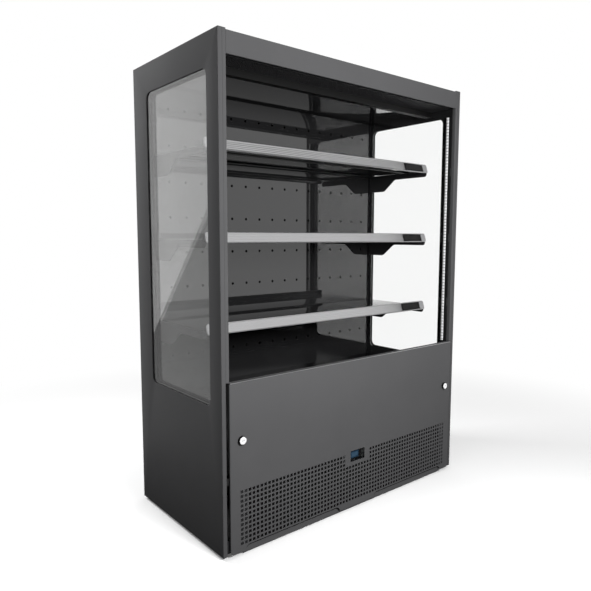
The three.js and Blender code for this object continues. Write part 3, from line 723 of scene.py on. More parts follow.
def dressed_copy(node: str, name: str, bevel: float, segments: int = 2) -> bpy.types.Object:
    """A copy of one of the solids with its flat faces joined and its edges rounded.

    Args:
        node: the solid's name.
        name: the copy's name.
        bevel: width of the rounded edges in millimetres.
        segments: steps of the bevel.

    Returns:
        The copy, which still has to take the solid's place.
    """
    mesh = bpy.data.objects[node].data.copy()
    mesh.name = name
    mesh.materials.clear()
    tidy_mesh(mesh, merge=1e-5, flatten_deg=0.5)
    made = linked(name, mesh)
    finish_edges(made, 32.0, bevel, segments)
    return made


# ---- sub-assemblies --------------------------------------------------------------------------


@dataclass
class Assembly:
    """What every sub-assembly shares: how a piece gets its body and its finish."""

    def place(self, made: bpy.types.Object, body: Body | str, finish: Finish, *nodes: str) -> None:
        """Gives a new object its finish and body, in place of the solids that it stands for.

        Args:
            made: the object.
            body: the body that it moves with.
            finish: its finish.
            nodes: the solids that it replaces.
        """
        made.data.materials.clear()
        made.data.materials.append(finish.material())
        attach(made, body.value if isinstance(body, Body) else body)
        if nodes:
            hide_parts(*nodes)
        LOG.info("%s: %d faces, %s", made.name, len(made.data.polygons), finish.name)

    def make(
        self, shell: Shell, finish: Finish, *nodes: str, body: Body | str = Body.CABINET, **edges: float
    ) -> None:
        """Turns gathered faces into a piece and places it.

        Args:
            shell: the faces.
            finish: the piece's finish.
            nodes: the solids that it replaces.
            body: the body that it moves with.
            edges: smooth_deg, bevel and segments, as for Shell.piece.
        """
        self.place(shell.piece(**edges), body, finish, *nodes)

    def copy(self, node: str, name: str, finish: Finish, bevel: float = 0.8) -> None:
        """Replaces a solid of the cabinet by a copy with rounded edges."""
        self.place(dressed_copy(node, name, bevel), Body.CABINET, finish, node)


@dataclass
class SideWall(Assembly):
    """One insulated side: painted outside, glossy inside, with its double glazing and light.

    An opening is its front, low, back and high edge and the radius of its corners.
    """

    side: Side = Side.LEFT
    outer_x: float = 733.0
    inner_x: float = 698.0
    skin: float = 18.0
    depth: float = 716.0
    height: float = 2000.0
    window: Opening = (84.0, 590.0, 587.0, 1875.0, 30.0)
    sash: Opening = (68.0, 586.0, 575.0, 1869.0, 26.0)
    liner_edge: Opening = (18.3, 318.3, 675.7, 1949.7, 0.5)
    outer_corner: float = 0.5
    liner_face: Opening = (18.9, 318.9, 675.1, 1949.1, 0.5)
    fold: float = 2.0  # radius of the skin's outer edge
    window_fold: float = 1.2
    rebate: float = 10.0
    glass_inset: float = 4.0
    glass_unit: float = 24.0
    pane: float = 4.0
    border: float = 0.3  # thickness of the printed border
    trim_low: float = 697.0
    trim_depth: float = 18.0
    strip_low: float = 697.5
    strip_high: float = 1872.0
    strip_y: Span = (30.0, 56.6)
    strip_depth: float = 7.5
    strip_lip: float = 3.4
    rib_pitch: float = 16.0
    rib_length: float = 5.0

    def build(self) -> None:
        """Builds the whole wall."""
        self.outer_panel()
        self.liner()
        self.glazing()
        self.trim()
        self.light()
        self.copy(self._named("upright"), self._named("slotted_upright"), UPRIGHT_COAT, 0.4)

    def _named(self, word: str) -> str:
        """The name of a piece or a solid on this side."""
        return f"{word}_{self.side.word}"

    def _span(self, near: float, far: float) -> list[float]:
        """Two distances from the middle, as rising x on this side."""
        return sorted((self.side.value * near, self.side.value * far))

    def _rim(self, x: float, opening: Opening, margin: float = 0.0) -> Array:
        """A rounded rectangle across the cabinet's width.

        Args:
            x: its distance from the middle.
            opening: the rectangle.
            margin: by which it is made larger all round.

        Returns:
            Points of shape (n, 3).
        """
        front, low, back, high, radius = opening
        loop = rounded_loop(front - margin, low - margin, back + margin, high + margin, radius + margin)
        return on_axis(loop, self.side.value * x, Axis.X)

    def _skin(self, name: str, rims: Sequence[Array], finish: Finish, *nodes: str) -> None:
        """Makes a closed piece whose surface runs from rim to rim and back to the first.

        Args:
            name: the piece's name without its side.
            rims: its loops in order.
            finish: its finish.
            nodes: the solids that it replaces, without their side.
        """
        shell = Shell(self._named(name)).grid(np.stack(rims), wrap_rows=True, wrap_columns=True)
        self.make(shell, finish, *map(self._named, nodes))

    def outer_panel(self) -> None:
        """Folded outer skin: it runs over its rounded outer edge, across, and into the window."""
        inside, seat = self.outer_x - self.skin, self.outer_x - self.glass_inset
        corner = self.outer_corner
        turn = np.linspace(0, np.pi / 2, 5)
        rims = [self._rim(inside, (0.0, 0.0, self.depth, self.height, corner))]
        for angle in turn:
            inset = self.fold * (1 - math.cos(angle))
            box = (inset, inset, self.depth - inset, self.height - inset, corner + inset)
            rims.append(self._rim(self.outer_x - self.fold * (1 - math.sin(angle)), box))
        for angle in turn:
            x = self.outer_x - self.window_fold * (1 - math.cos(angle))
            rims.append(self._rim(x, self.window, self.window_fold * (1 - math.sin(angle))))
        steps = ((seat, 0.0), (seat, self.rebate), (inside, self.rebate))
        rims += [self._rim(x, self.window, margin) for x, margin in steps]
        self._skin("outer_side", rims, PAINT, "side_panel")

    def liner(self) -> None:
        """Glossy inner skin: it runs from its outer edge across the inside and into the sash."""
        outside, face = self.outer_x - self.skin - GAP, self.inner_x
        glass = self.outer_x - self.glass_inset - self.glass_unit - 2 * GAP
        steps = (
            (outside, self.liner_edge, 0.0), (face + 0.6, self.liner_edge, 0.0), (face, self.liner_face, 0.0),
            (face, self.sash, 1.0), (face + 1.0, self.sash, 0.0), (glass, self.sash, 0.0),
            (glass, self.window, self.rebate), (outside, self.window, self.rebate),
        )
        self._skin("inner_side", [self._rim(*step) for step in steps], GLOSS, "side_liner")

    def glazing(self) -> None:
        """Two panes with a black printed border on each and a spacer bar between them; on the left the border
        reaches further in as painted shade.
        """
        outside = self.outer_x - self.glass_inset - GAP
        inside = outside - self.glass_unit
        loop = self._rim(0.0, self.window, self.rebate - GAP)[:, 1:]
        panes = Shell(self._named("window_panes"))
        for near in (inside, outside - self.pane):
            panes.prism(loop, *self._span(near, near + self.pane), Axis.X)
        glass = GLASS if self.side is Side.LEFT else COATED_GLASS
        self.make(panes, glass, self._named("glazing"), bevel=0.3, segments=1)
        near, far = inside + self.pane, outside - self.pane
        self._ring("window_spacer", near + 0.5, far - 0.5, 1.5, 9.0, SPACER)
        # On the left the black border reaches 5 mm into the opening, where it stands in for shade on the
        # window's recess: print and painted shade.
        print_and_shade_inset = self.rebate + (5.0 if self.side is Side.LEFT else 1.2)
        self._ring("window_border", far - 0.1 - self.border, far - 0.1, 0.8, print_and_shade_inset, FRIT)
        self._ring("window_border_inner", near + 0.1, near + 0.1 + self.border, 0.8, print_and_shade_inset, FRIT)

    def _ring(self, name: str, near: float, far: float, outer: float, inner: float, finish: Finish) -> None:
        """A flat ring that follows the glass, from one inset to another.

        Args:
            name: the piece's name without its side.
            near, far: its two distances from the middle.
            outer, inner: insets from the edge of the glass.
            finish: its finish.
        """
        edge = self.rebate - GAP
        steps = ((near, outer), (far, outer), (far, inner), (near, inner))
        self._skin(name, [self._rim(x, self.window, edge - inset) for x, inset in steps], finish)

    def trim(self) -> None:
        """Painted trim on the front of the wall, with round corners."""
        far = self.outer_x - self.skin - GAP
        section = rounded_loop(self.inner_x, 0.0, far, self.trim_depth, 2.2, 5) * [self.side.value, 1]
        shell = Shell(self._named("front_trim")).prism(section, self.trim_low, self.height, Axis.Z)
        self.make(shell, PAINT, self._named("post_trim"), bevel=0.5)

    def light(self) -> None:
        """Light strip: a black channel with a ribbed, domed diffuser between its lips."""
        back, sign = self.inner_x - GAP, np.array([self.side.value, 1.0])
        (front_y, back_y), lip = self.strip_y, self.strip_lip
        top, floor, low, high = back - self.strip_depth, back - 2.0, self.strip_low, self.strip_high
        half = [[back, front_y], [top, front_y], [top, front_y + lip], [floor, front_y + lip]]
        mirrored = [[x, front_y + back_y - y] for x, y in reversed(half)]
        channel = Shell(self._named("light_channel")).prism(np.array(half + mirrored) * sign, low, high, Axis.Z)
        self.make(channel, DEEP_BLACK, self._named("led_strip"), bevel=0.4)
        dome = Shell(self._named("light_diffuser"))
        self.make(dome.prism(self._dome(back, 0.0) * sign, low + 1.5, high - 1.5, Axis.Z), DIFFUSER)
        ribs = Shell(self._named("light_ribs"))
        for start in np.arange(low + 6.5, high - 10.0, self.rib_pitch):
            ribs.prism(self._dome(back, 0.5) * sign, start, start + self.rib_length, Axis.Z)
        self.make(ribs, RIB)
        caps = Shell(self._named("light_end_caps"))
        near, far = self._span(back - 9.2, back - 2.2)
        for start in (low + 0.5, high - 1.4):
            caps.box((near, front_y + 3.6, start), (far, back_y - 3.6, start + 0.9))
        self.make(caps, DEEP_BLACK, bevel=0.2)

    def _dome(self, back: float, lift: float) -> Array:
        """Section of the diffuser: half an ellipse on a flat foot.

        Args:
            back: the wall that the channel lies on.
            lift: by which a rib stands above the diffuser.

        Returns:
            Points of shape (n, 2).
        """
        middle, angle = sum(self.strip_y) / 2, np.linspace(-np.pi / 2, np.pi / 2, 11)
        dome = np.stack([back - 5.0 - (4.0 + lift) * np.cos(angle), middle + 9.0 * np.sin(angle)], -1)
        foot = back - 2.4 - lift
        return np.concatenate([[[foot, middle - 9.6]], dome, [[foot, middle + 9.6]]])


@dataclass
class Canopy(Assembly):
    """Front of the canopy, roof, air outlet and glossy ceiling."""

    half: float = 697.7
    low: float = 1912.0
    lip: float = 1886.0
    top: float = 1996.0
    roof_low: float = 1949.7
    outlet_y: Span = (34.0, 149.7)
    cell: float = 11.0
    wall: float = 1.2
    rows: int = 10

    def build(self) -> None:
        """Builds the canopy."""
        hem = self.low + 2.2
        front = [[7.5, hem], [7.5, self.low], [1, self.low], [1, self.top], [43.7, self.top], [43.7, 1984]]
        self._bent("canopy_front", ribbon(front, -1.6, 2.6), PAINT, "canopy_fascia")
        sheet = [[184.6, self.low], [590.7, self.low], [590.7, self.roof_low]]
        self._bent("glossy_ceiling", ribbon(sheet, 2.0, 1.0, 3), GLOSS, "ceiling_liner")
        lip = [[150, self.roof_low], [150, self.lip], [184, self.lip], [184, self.low + 2]]
        self._bent("hanging_lip", ribbon(lip, 2.0, 1.0, 3), DEEP_BLACK)
        self.outlet()
        self.copy("roof_panel", "insulated_roof", PAINT, 1.2)

    def _bent(self, name: str, section: Array, finish: Finish, *nodes: str) -> None:
        """Makes a bent sheet that runs across the whole canopy."""
        self.make(Shell(name).prism(section, -self.half, self.half, Axis.X), finish, *nodes)

    def outlet(self) -> None:
        """Cell plate of the air outlet, hung from the roof by its front wall."""
        columns, (front, back) = int((2 * self.half - 8) // self.cell), self.outlet_y
        xs = cell_lines(columns, self.cell, self.wall, -0.5 * columns * self.cell, -self.half, self.half)
        ys = cell_lines(self.rows, self.cell, self.wall, front + 4.0, front, back)
        plate_z = self.low + 3.0
        shell = slotted(
            "air_outlet_cells", xs, ys, 12.0, lambda a, b, w: np.stack([a, b, plate_z + w + 0 * a], -1)
        )
        shell.box((-self.half, front, plate_z + 12.2), (self.half, front + 3.0, self.roof_low))
        self.make(shell, HONEYCOMB, "air_honeycomb")


def cell_lines(count: int, pitch: float, wall: float, start: float, low: float, high: float) -> Array:
    """Grid lines at both edges of every opening of a row, between the row's two outer ends.

    Args:
        count: openings in the row.
        pitch: from one opening to the next.
        wall: material between two openings.
        start: where the first opening's share of the row begins.
        low, high: the outer ends.

    Returns:
        The lines in rising order, so that every second interval is an opening.
    """
    left = start + np.arange(count) * pitch + wall / 2
    inner = np.stack([left, left + pitch - wall], -1).reshape(-1)
    return np.concatenate([[low], inner, [high]])


def slotted(name: str, a: Array, b: Array, thickness: float, place: Place) -> Shell:
    """A sheet that is open wherever an opening of one row of lines crosses one of the other.

    Args:
        name: the piece's name.
        a, b: the two rows of lines.
        thickness: of the sheet.
        place: turns grid coordinates and a depth into points.

    Returns:
        The sheet's faces.
    """
    open_a, open_b = (np.arange(len(lines) - 1) % 2 == 1 for lines in (a, b))
    return Shell(name).lattice(a, b, ~np.outer(open_b, open_a), thickness, place)


@dataclass
class AirPanel(Assembly):
    """Glossy panel at the back of the display space, with round air holes."""

    half: float = 679.7
    low: float = 540.3
    high: float = 1949.0
    face_y: float = 591.0
    thickness: float = 2.0
    pitch: Span = (83.0, 160.5)
    lowest: float = 699.0
    count: tuple[int, int] = (16, 8)
    radius: float = 6.0
    steps: int = 4

    def build(self) -> None:
        """Builds the panel cell by cell: in each, rings run from the cell's edge to its hole."""
        columns, rows = self.count
        centre_x = (np.arange(columns) - (columns - 1) / 2) * self.pitch[0]
        centre_z = self.lowest + np.arange(rows) * self.pitch[1]
        edge_x = np.concatenate([[-self.half], (centre_x[1:] + centre_x[:-1]) / 2, [self.half]])
        edge_z = np.concatenate([[self.low], (centre_z[1:] + centre_z[:-1]) / 2, [self.high]])
        share = np.arange(self.steps) / self.steps
        zero, one = 0 * share, 0 * share + 1
        u = np.concatenate([share, one, 1 - share, zero])
        v = np.concatenate([zero, share, one, 1 - share])
        angle = np.arctan2(v - 0.5, u - 0.5)
        i, j = (grid.reshape(-1, 1) for grid in np.meshgrid(np.arange(columns), np.arange(rows)))
        edge = edge_x[i] + (edge_x[i + 1] - edge_x[i]) * u, edge_z[j] + (edge_z[j + 1] - edge_z[j]) * v
        far, hole = self.thickness, self.radius
        rings = []
        for radius, y in ((None, 0.0), (hole + 0.6, 0.0), (hole, 0.6), (hole, far), (None, far)):
            circle = centre_x[i] + (radius or 0) * np.cos(angle), centre_z[j] + (radius or 0) * np.sin(angle)
            x, z = circle if radius else edge
            rings.append(np.stack([x, np.full_like(x, self.face_y + y), z], -1))
        shell = Shell("perforated_air_panel")
        for cell in np.stack(rings, 1):
            shell.grid(cell, wrap_columns=True)
        self._rim(shell, edge_x, edge_z)
        self.make(shell, GLOSS, "back_air_panel")

    def _rim(self, shell: Shell, edge_x: Array, edge_z: Array) -> None:
        """Closes the panel's four edges with the same divisions as its cells.

        Args:
            shell: the panel.
            edge_x, edge_z: the cells' edges.
        """
        runs = ((Axis.X, edge_x, (self.low, self.high)), (Axis.Z, edge_z, (-self.half, self.half)))
        for axis, lines, ends in runs:
            fine = np.interp(np.arange(0, len(lines) - 1 + 1e-9, 1 / self.steps), np.arange(len(lines)), lines)
            for end in ends:
                rows = []
                for y in (self.face_y, self.face_y + self.thickness):
                    pair = (np.full_like(fine, y), np.full_like(fine, end))
                    rows.append(np.stack((fine, *pair) if axis is Axis.X else (*pair[::-1], fine), -1))
                shell.grid(np.stack(rows))


@dataclass
class Shelf(Assembly):
    """One hook-on shelf: glossy plate, brackets with slim bars, ticket rail and ticket holder."""

    number: int = 1
    top: float = 1642.0
    bracket_x: float = 686.0
    bracket_thickness: float = 4.0
    bracket_front: float = 169.0
    heel: float = 587.5
    hook_drop: float = 41.0
    hook_pitch: float = 74.0
    bar_y: Span = (292.0, 560.0)
    plate_front: float = 171.0
    plate_back: float = 584.0
    drop: float = 26.0
    thickness: float = 6.0
    rail_half: float = 690.0
    rail_front: float = 160.0
    rail_height: float = 46.0
    rail_lean: float = 15.0
    rail_lip: float = 5.0
    cap_length: float = 38.0
    cap_round: float = 14.0
    grooves: int = 5
    groove_depth: float = 0.9
    holder_x: Span = (505.0, 651.0)
    field_x: Span = (513.0, 632.0)

    @property
    def rest(self) -> float:
        """Height at which the brackets carry the plate."""
        return self.top - self.drop - self.thickness - GAP

    @property
    def low(self) -> float:
        """Height of the rail's lower edge."""
        return self.top - self.rail_height

    def face(self, z: Array | float) -> Array | float:
        """Where the leaning front of the rail lies at a height."""
        return self.rail_front + self.rail_lean * (z - self.low) / self.rail_height

    def add(self, shell: Shell, finish: Finish, *nodes: str, **edges: float) -> None:
        """Makes a piece of this shelf; the solids' names come without its number."""
        numbered = [f"{node}_{self.number}" for node in nodes]
        self.make(shell, finish, *numbered, body=f"shelf_{self.number}", **edges)

    def build(self) -> None:
        """Builds the shelf."""
        self.plate()
        self.frame()
        self.rail()
        self.end_caps()
        self.holder()

    def plate(self) -> None:
        """Glossy plate with soft front and back edges, closed at both ends by a narrow strip."""
        front, back, low, high = self.plate_front, self.plate_back, self.rest + GAP, self.top - self.drop
        reach = self.rail_half - 1.0
        shell = Shell(f"shelf_plate_sheet_{self.number}")
        shell.prism(rounded_loop(front, low, back, high, 1.4, 4), -reach + 1.5, reach - 1.5, Axis.X)
        end = rounded_loop(front + 0.4, low + 0.4, back - 0.4, high - 0.4, 1.2, 4)
        for side in (-1, 1):
            shell.prism(end, *sorted((side * (reach - 1.4), side * reach)), Axis.X)
        self.add(shell, GLOSS, "shelf_plate")

    def bracket(self) -> Array:
        """Outline of a bracket in (y, z): notch for the rail, slim arm, deep heel and hooks."""
        heel, rest, front = self.heel, self.rest, self.bracket_front
        arm_z, heel_z = self.top - 64.0, self.top - 127.0
        arm = [
            [heel - 7, rest], [front + 16, rest], [front + 16, rest - 2.5], [front, rest - 2.5],
            [front, arm_z], [300, arm_z],
        ]
        foot = [[300, arm_z], [392, arm_z], [472, heel_z], [heel, heel_z]]
        tabs = []
        for z in (self.top - self.hook_drop - self.hook_pitch, self.top - self.hook_drop):
            tabs += [[heel, z - 7], [heel + 9, z - 7], [heel + 9, z + 7], [heel, z + 7]]
        return np.concatenate([filleted(arm, 14.0), filleted(foot, 34.0, 7)[1:], filleted(tabs, 1.2, 3)])

    def frame(self) -> None:
        """Both brackets and the two slim bars that join them under the plate."""
        shell, outline = Shell(f"shelf_brackets_{self.number}"), self.bracket()
        for low in (self.bracket_x, -self.bracket_x - self.bracket_thickness):
            shell.prism(outline, low, low + self.bracket_thickness, Axis.X)
        half = self.bracket_x - 0.05
        for y in self.bar_y:
            shell.prism(rounded_loop(y, self.rest - 5, y + 14, self.rest, 1.6, 4), -half, half, Axis.X)
        self.add(shell, BLACK_COAT, "shelf_frame", bevel=0.5)

    def rail(self) -> None:
        """Drawn ticket rail: a leaning, grooved face between two lips, and ledges on its back.

        The face is the leaning line, moved inwards by a recess and by a groove depth that rises
        and falls with the fourth power of a cosine, once for each groove.
        """
        low, top, face = self.low, self.top, self.face
        share = np.linspace(0, 1, self.grooves * 8 + 1)
        z = low + self.rail_lip + (self.rail_height - 2 * self.rail_lip) * share
        dip = self.groove_depth * np.cos(np.pi * (share * self.grooves - 0.5)) ** 4
        front = np.stack([face(z) + 0.8 + dip, z], -1)
        stop, grip, inner = self.bracket_front - GAP, self.plate_front + 12.0, self.plate_front - 0.4
        over, under = top - self.drop + GAP, self.rest
        lower = [
            [stop, low + 3], [stop, low], [face(low) + 0.8, low], [face(low), low + 0.7],
            [face(low) - 0.9, low + 2.4], [face(low) + 0.6, low + 4.4],
        ]
        upper = [
            [face(top) - 1.9, top - 4.4], [face(top) - 2.3, top - 2.6], [face(top) - 1.2, top - 0.7],
            [face(top), top], [face(top) + 6, top], [face(top) + 6, top - 1.8],
            [face(top - 1.8) + 3, top - 1.8],
        ]
        ledges = [
            [face(over + 1.6) + 3, over + 1.6], [grip, over + 1.6], [grip, over], [inner, over], [inner, under],
            [grip, under], [grip, under - 1.6], [face(under - 1.6) + 3, under - 1.6],
            [face(low + 3) + 3, low + 3],
        ]
        reach = self.rail_half - self.cap_length - 0.2
        shell = Shell(f"ticket_rail_profile_{self.number}")
        shell.prism(np.concatenate([lower, front, upper, ledges]), -reach, reach, Axis.X)
        self.add(shell, ANODISED, "ticket_rail", smooth_deg=40)

    def end_caps(self) -> None:
        """Pale moulded caps on the rail's ends, rounded towards their outer end.

        Each is a row of loops along the rail; the last ones shrink as a quarter circle does.
        """
        angle = np.concatenate([[0.0, 0.0], np.linspace(0, np.pi / 2, 8)])
        along = self.rail_half - self.cap_round * (1 - np.sin(angle))
        along[:2] = (self.rail_half - self.cap_length, self.rail_half - self.cap_round - 3.0)
        caps = Shell(f"rail_end_caps_{self.number}")
        for side in (-1, 1):
            loops = []
            for x, inset in zip(along, 1 - np.cos(angle)):
                low, high = self.low + 12.0 * inset, self.top - 12.0 * inset
                near, far = -1.4 + 2.0 * inset, 3.5
                corners = ((low, near), (high, near), (high, far), (low, far))
                leaning = [[self.face(z) + off, z] for z, off in corners]
                loops.append(on_axis(filleted(leaning, 1.3, 3, closed=True), side * x, Axis.X))
            caps.grid(np.stack(loops), wrap_columns=True).cap(loops[0]).cap(loops[-1])
        self.add(caps, RAIL_CAP, smooth_deg=45)

    def holder(self) -> None:
        """Black ticket holder between the rail's lips: a frame with a raised, paler field."""
        low, high = self.low + self.rail_lip, self.top - self.rail_lip
        for name, ends, margin, lift, finish, nodes in (
            ("ticket_holder", self.holder_x, 0.0, 0.5, DEEP_BLACK, ("rail_insert",)),
            ("ticket_field", self.field_x, 7.0, 0.9, TICKET_FIELD, ()),
        ):
            share = np.linspace(0, 1, 9)
            z = low + margin + (high - low - 2 * margin) * share
            outer = np.stack([self.face(z) - lift - 0.4 * np.sin(np.pi * share), z], -1)
            inner = np.stack([self.face(z) + 0.4 - lift * bool(margin), z], -1)[::-1]
            shell = Shell(f"{name}_{self.number}").prism(np.concatenate([outer, inner]), *ends, Axis.X)
            self.add(shell, finish, *nodes, bevel=0.2)


@dataclass
class Deck(Assembly):
    """Bottom deck, return air grille and the insulated wall behind the front panel."""

    half: float = 697.7
    top: float = 540.0
    low: float = 318.3
    tray_y: Span = (62.0, 602.0)
    riser_top: float = 692.7
    grille_half: float = 697.0
    slots: int = 92
    slot_width: float = 9.0

    def build(self) -> None:
        """Builds the deck."""
        path = [[-self.half, self.low], [-self.half, self.top], [self.half, self.top], [self.half, self.low]]
        tray = Shell("glossy_deck").prism(ribbon(path, -2.0, 2.6), *self.tray_y, Axis.Y)
        self.make(tray, DECK_SHEET, "deck_tray")
        end = self.grille_half
        pitch = (2 * end - 20) / self.slots
        xs = cell_lines(self.slots, pitch, pitch - self.slot_width, 10 - end, -end, end)
        ys, z = np.array([28.0, 34.0, 58.0, 96.0]), self.top + 0.4
        grille = slotted("return_air_slots", xs, ys, 1.6, lambda a, b, w: np.stack([a, b, z + w + 0 * a], -1))
        self.make(grille, BLACK_COAT, "return_air_grille")
        top, slope = self.riser_top, self.riser_top - 6.7
        riser = filleted([[1, self.low], [26, self.low], [26, slope], [20, top], [1, top]], 1.5, 3, closed=True)
        wall = Shell("front_riser_wall").prism(riser, -self.half, self.half, Axis.X)
        self.make(wall, GLOSS, "front_riser", bevel=0.6)
        self.copy("evaporator_tub", "insulated_tub", PLASTIC, 1.0)


@dataclass
class FrontPanel(Assembly):
    """Lift-off front panel with its perforated field, arched lower edge and folded rims."""

    half: float = 703.5
    top: float = 695.5
    bottom: float = 3.0
    face_y: float = -8.0
    thickness: float = 2.0
    bend: float = 3.0
    side_return: float = 7.4
    top_return: float = 25.0
    corner: float = 11.0  # height of the cut at the lower corners
    corner_x: float = 693.5
    hole: float = 12.8
    pitch: float = 19.4
    columns: int = 68
    rows: int = 12
    top_row: float = 252.0
    blank_half: float = 85.0
    blank_rows: int = 3
    window: tuple[float, float, float, float] = (-46.0, 217.0, 46.0, 269.0)
    arch: Span = (112.0, 634.0)
    arch_rise: float = 23.0
    arch_corner: float = 26.0
    # Size of the near-black sheet behind the holes, which is painted shade.
    shade_sheet_half: float = 622.0
    shade_sheet_gap: float = 88.0  # half the width left free for the controller
    shade_sheet_z: tuple[float, float, float] = (31.0, 196.0, 262.0)

    @property
    def back(self) -> float:
        """The back face of the sheet."""
        return self.face_y + self.thickness

    def build(self) -> None:
        """Builds the panel and what is fixed to it."""
        a, b = self._lines()
        shell = Shell("perforated_front_panel").lattice(a, b, self._solid(a, b), self.thickness, self._place)
        self.make(shell, PAINT, "front_panel", body=Body.PANEL, smooth_deg=24)
        self.arch_painted_shadow()
        self.hole_shade_sheet()
        self.top_bead()

    def top_bead(self) -> None:
        """Slim bright metal strip along the panel's top edge: a painted highlight for the light that the top
        bend catches.
        """
        high, front, reach = self.top + 0.4, self.face_y - 0.3, self.half - 4.0
        section = rounded_loop(front, high - 2.4, front + 4.6, high, 1.1, 4)
        # The strip stands in for the bend's highlight: painted highlight.
        self.make(Shell("panel_top_bead").prism(section, -reach, reach, Axis.X), ANODISED, body=Body.PANEL)

    def hole_shade_sheet(self) -> None:
        """Near-black sheet behind the perforated field, in three lengths round the controller: painted shade
        seen through the holes.

        Its face ripples by a sine across, as a pleated mat does. A black strip stands beside each of its ends,
        painted shade at the outer holes.
        """
        back, half, gap = self.back + 0.5, self.shade_sheet_half, self.shade_sheet_gap
        low, middle_high, high = self.shade_sheet_z
        mat = Shell("hole_shade_sheet")
        for start, end, top in ((-half, -gap, high), (-gap, gap, middle_high), (gap, half, high)):
            x = np.linspace(start, end, 61)
            near = np.stack([x, back + 0.3 + 0.25 * np.sin(np.arange(61) * np.pi / 2)], -1)
            far = np.stack([x, np.full_like(x, back + 1.5)], -1)[::-1]
            mat.prism(np.concatenate([near, far]), low, top, Axis.Z)
        self.make(mat, SHADE_BLACK, body=Body.PANEL)
        strips = Shell("edge_shade_strips")
        for start in (-half - 44.0, half + 1.0):
            strips.prism(rounded_loop(start, back, start + 43.0, back + 1.5, 0.4, 3), low, high, Axis.Z)
        self.make(strips, BLACK_COAT, body=Body.PANEL)

    def arch_painted_shadow(self) -> None:
        """Thin black strip behind each arch, which shows as a dark line under the panel: painted shadow of the
        gap under the arch edge.

        It follows the lower edge, from a little above it to a little below.
        """
        near, far = self.arch
        # Black strip that stands in for the shadow in the gap under the arch edge: painted shadow.
        shadow_strip = Shell("arch_painted_shadow")
        curve = np.array([0, 0.6, 2, 4.5, 8, 12.5, 18, 25])
        across = np.concatenate([near + 1.5 + curve, np.linspace(near + 60, far - 60, 9)])
        across = np.unique(np.concatenate([across, near + far - across]))
        edge = self._lower_edge(across)
        for sign in (-1, 1):
            loops = [
                np.stack([sign * across, np.full_like(across, self.back + off), edge + rise], -1)
                for rise, off in ((3.0, 0.2), (3.0, 1.5), (-4.6, 1.5), (-4.6, 0.2))
            ]
            ends = np.stack(loops)[:, [0, -1]]
            shadow_strip.grid(np.stack(loops), wrap_rows=True).cap(ends[:, 0]).cap(ends[:, 1])
        self.make(shadow_strip, SHADE_BLACK, body=Body.PANEL)

    def _lines(self) -> tuple[Array, Array]:
        """Grid lines across and up the flat sheet: hole edges, window, arches, bends and rims.

        Returns:
            The lines across and the lines up.
        """
        half_hole, quarter = self.hole / 2, np.linspace(0, np.pi / 2, 5)
        centres = (np.arange(self.columns) - (self.columns - 1) / 2) * self.pitch
        rows = self.top_row - np.arange(self.rows) * self.pitch
        near, far = self.arch
        curve = np.array([0, 0.6, 2, 4.5, 8, 12.5, 18, 26])
        fold = self.half - self.bend + self.bend * quarter
        rim_end = fold[-1] + self.side_return - self.bend
        one_side = np.concatenate([near + curve, far - curve, fold, [self.corner_x, rim_end, self.window[2]]])
        across = np.concatenate([centres - half_hole, centres + half_hole, one_side, -one_side])
        fold = self.top - self.bend + self.bend * quarter
        tail = fold[-1] + self.top_return - self.bend
        levels = [self.bottom, self.corner, self.window[1], self.window[3], 480.0, tail]
        up = np.concatenate([levels, rows - half_hole, rows + half_hole, fold])
        return np.unique(np.round(across, 4)), np.unique(np.round(up, 4))

    def _solid(self, a: Array, b: Array) -> Array:
        """Which cells hold material: not the holes, the window or the corners outside the rims.

        Args:
            a, b: the grid lines.

        Returns:
            A mask of shape (len(b) - 1, len(a) - 1).
        """
        x, z = np.meshgrid((a[1:] + a[:-1]) / 2, (b[1:] + b[:-1]) / 2)
        column = np.round(x / self.pitch + (self.columns - 1) / 2)
        row = np.round((self.top_row - z) / self.pitch)
        off_x = np.abs(x - (column - (self.columns - 1) / 2) * self.pitch)
        off_z = np.abs(z - (self.top_row - row * self.pitch))
        holes = np.maximum(off_x, off_z) < self.hole / 2
        holes &= (column >= 0) & (column < self.columns) & (row >= 0) & (row < self.rows)
        holes &= ~((np.abs(x) < self.blank_half) & (row < self.blank_rows))
        left, low, right, high = self.window
        opening = (x > left) & (x < right) & (z > low) & (z < high)
        side_rim, top_rim = np.abs(x) > self.half - self.bend, z > self.top - self.bend
        return ~(holes | opening | (side_rim & (top_rim | (z < self.corner))))

    def _place(self, a: Array, b: Array, depth: float) -> Array:
        """Bends the flat sheet into the panel.

        Beyond a bend line the sheet follows a circle of the bend radius, less the depth, up to a
        right angle and then runs straight back. Below the lowest holes, rows close in on the
        arched lower edge in proportion.

        Args:
            a, b: flat coordinates.
            depth: distance behind the front face.

        Returns:
            Points in space.
        """
        radius = self.bend - depth
        x, back_x = self._bent(a, self.half - self.bend, radius)
        z, back_z = self._bent(b, self.top - self.bend, radius)
        lowest = self.top_row - (self.rows - 1) * self.pitch - self.hole / 2
        share = np.clip((lowest - b) / (lowest - self.bottom), 0, 1)
        z = np.where(b < lowest, lowest - share * (lowest - self._lower_edge(a)), z)
        return np.stack([x, self.face_y + depth + back_x + back_z, z], -1)

    def _bent(self, value: Array, line: float, radius: float) -> tuple[Array, Array]:
        """One bend: the coordinate after it, and how far back it carries the sheet.

        Args:
            value: flat coordinate.
            line: where the bend starts, on both sides of the middle.
            radius: of this layer of the sheet.

        Returns:
            The bent coordinate and the distance back.
        """
        beyond = np.maximum(np.abs(value) - line, 0)
        angle = np.clip(beyond / self.bend, 0, np.pi / 2)
        straight = np.maximum(beyond - self.bend * np.pi / 2, 0)
        bent = np.minimum(np.abs(value), line) + radius * np.sin(angle)
        return np.sign(value) * bent, radius * (1 - np.cos(angle)) + straight

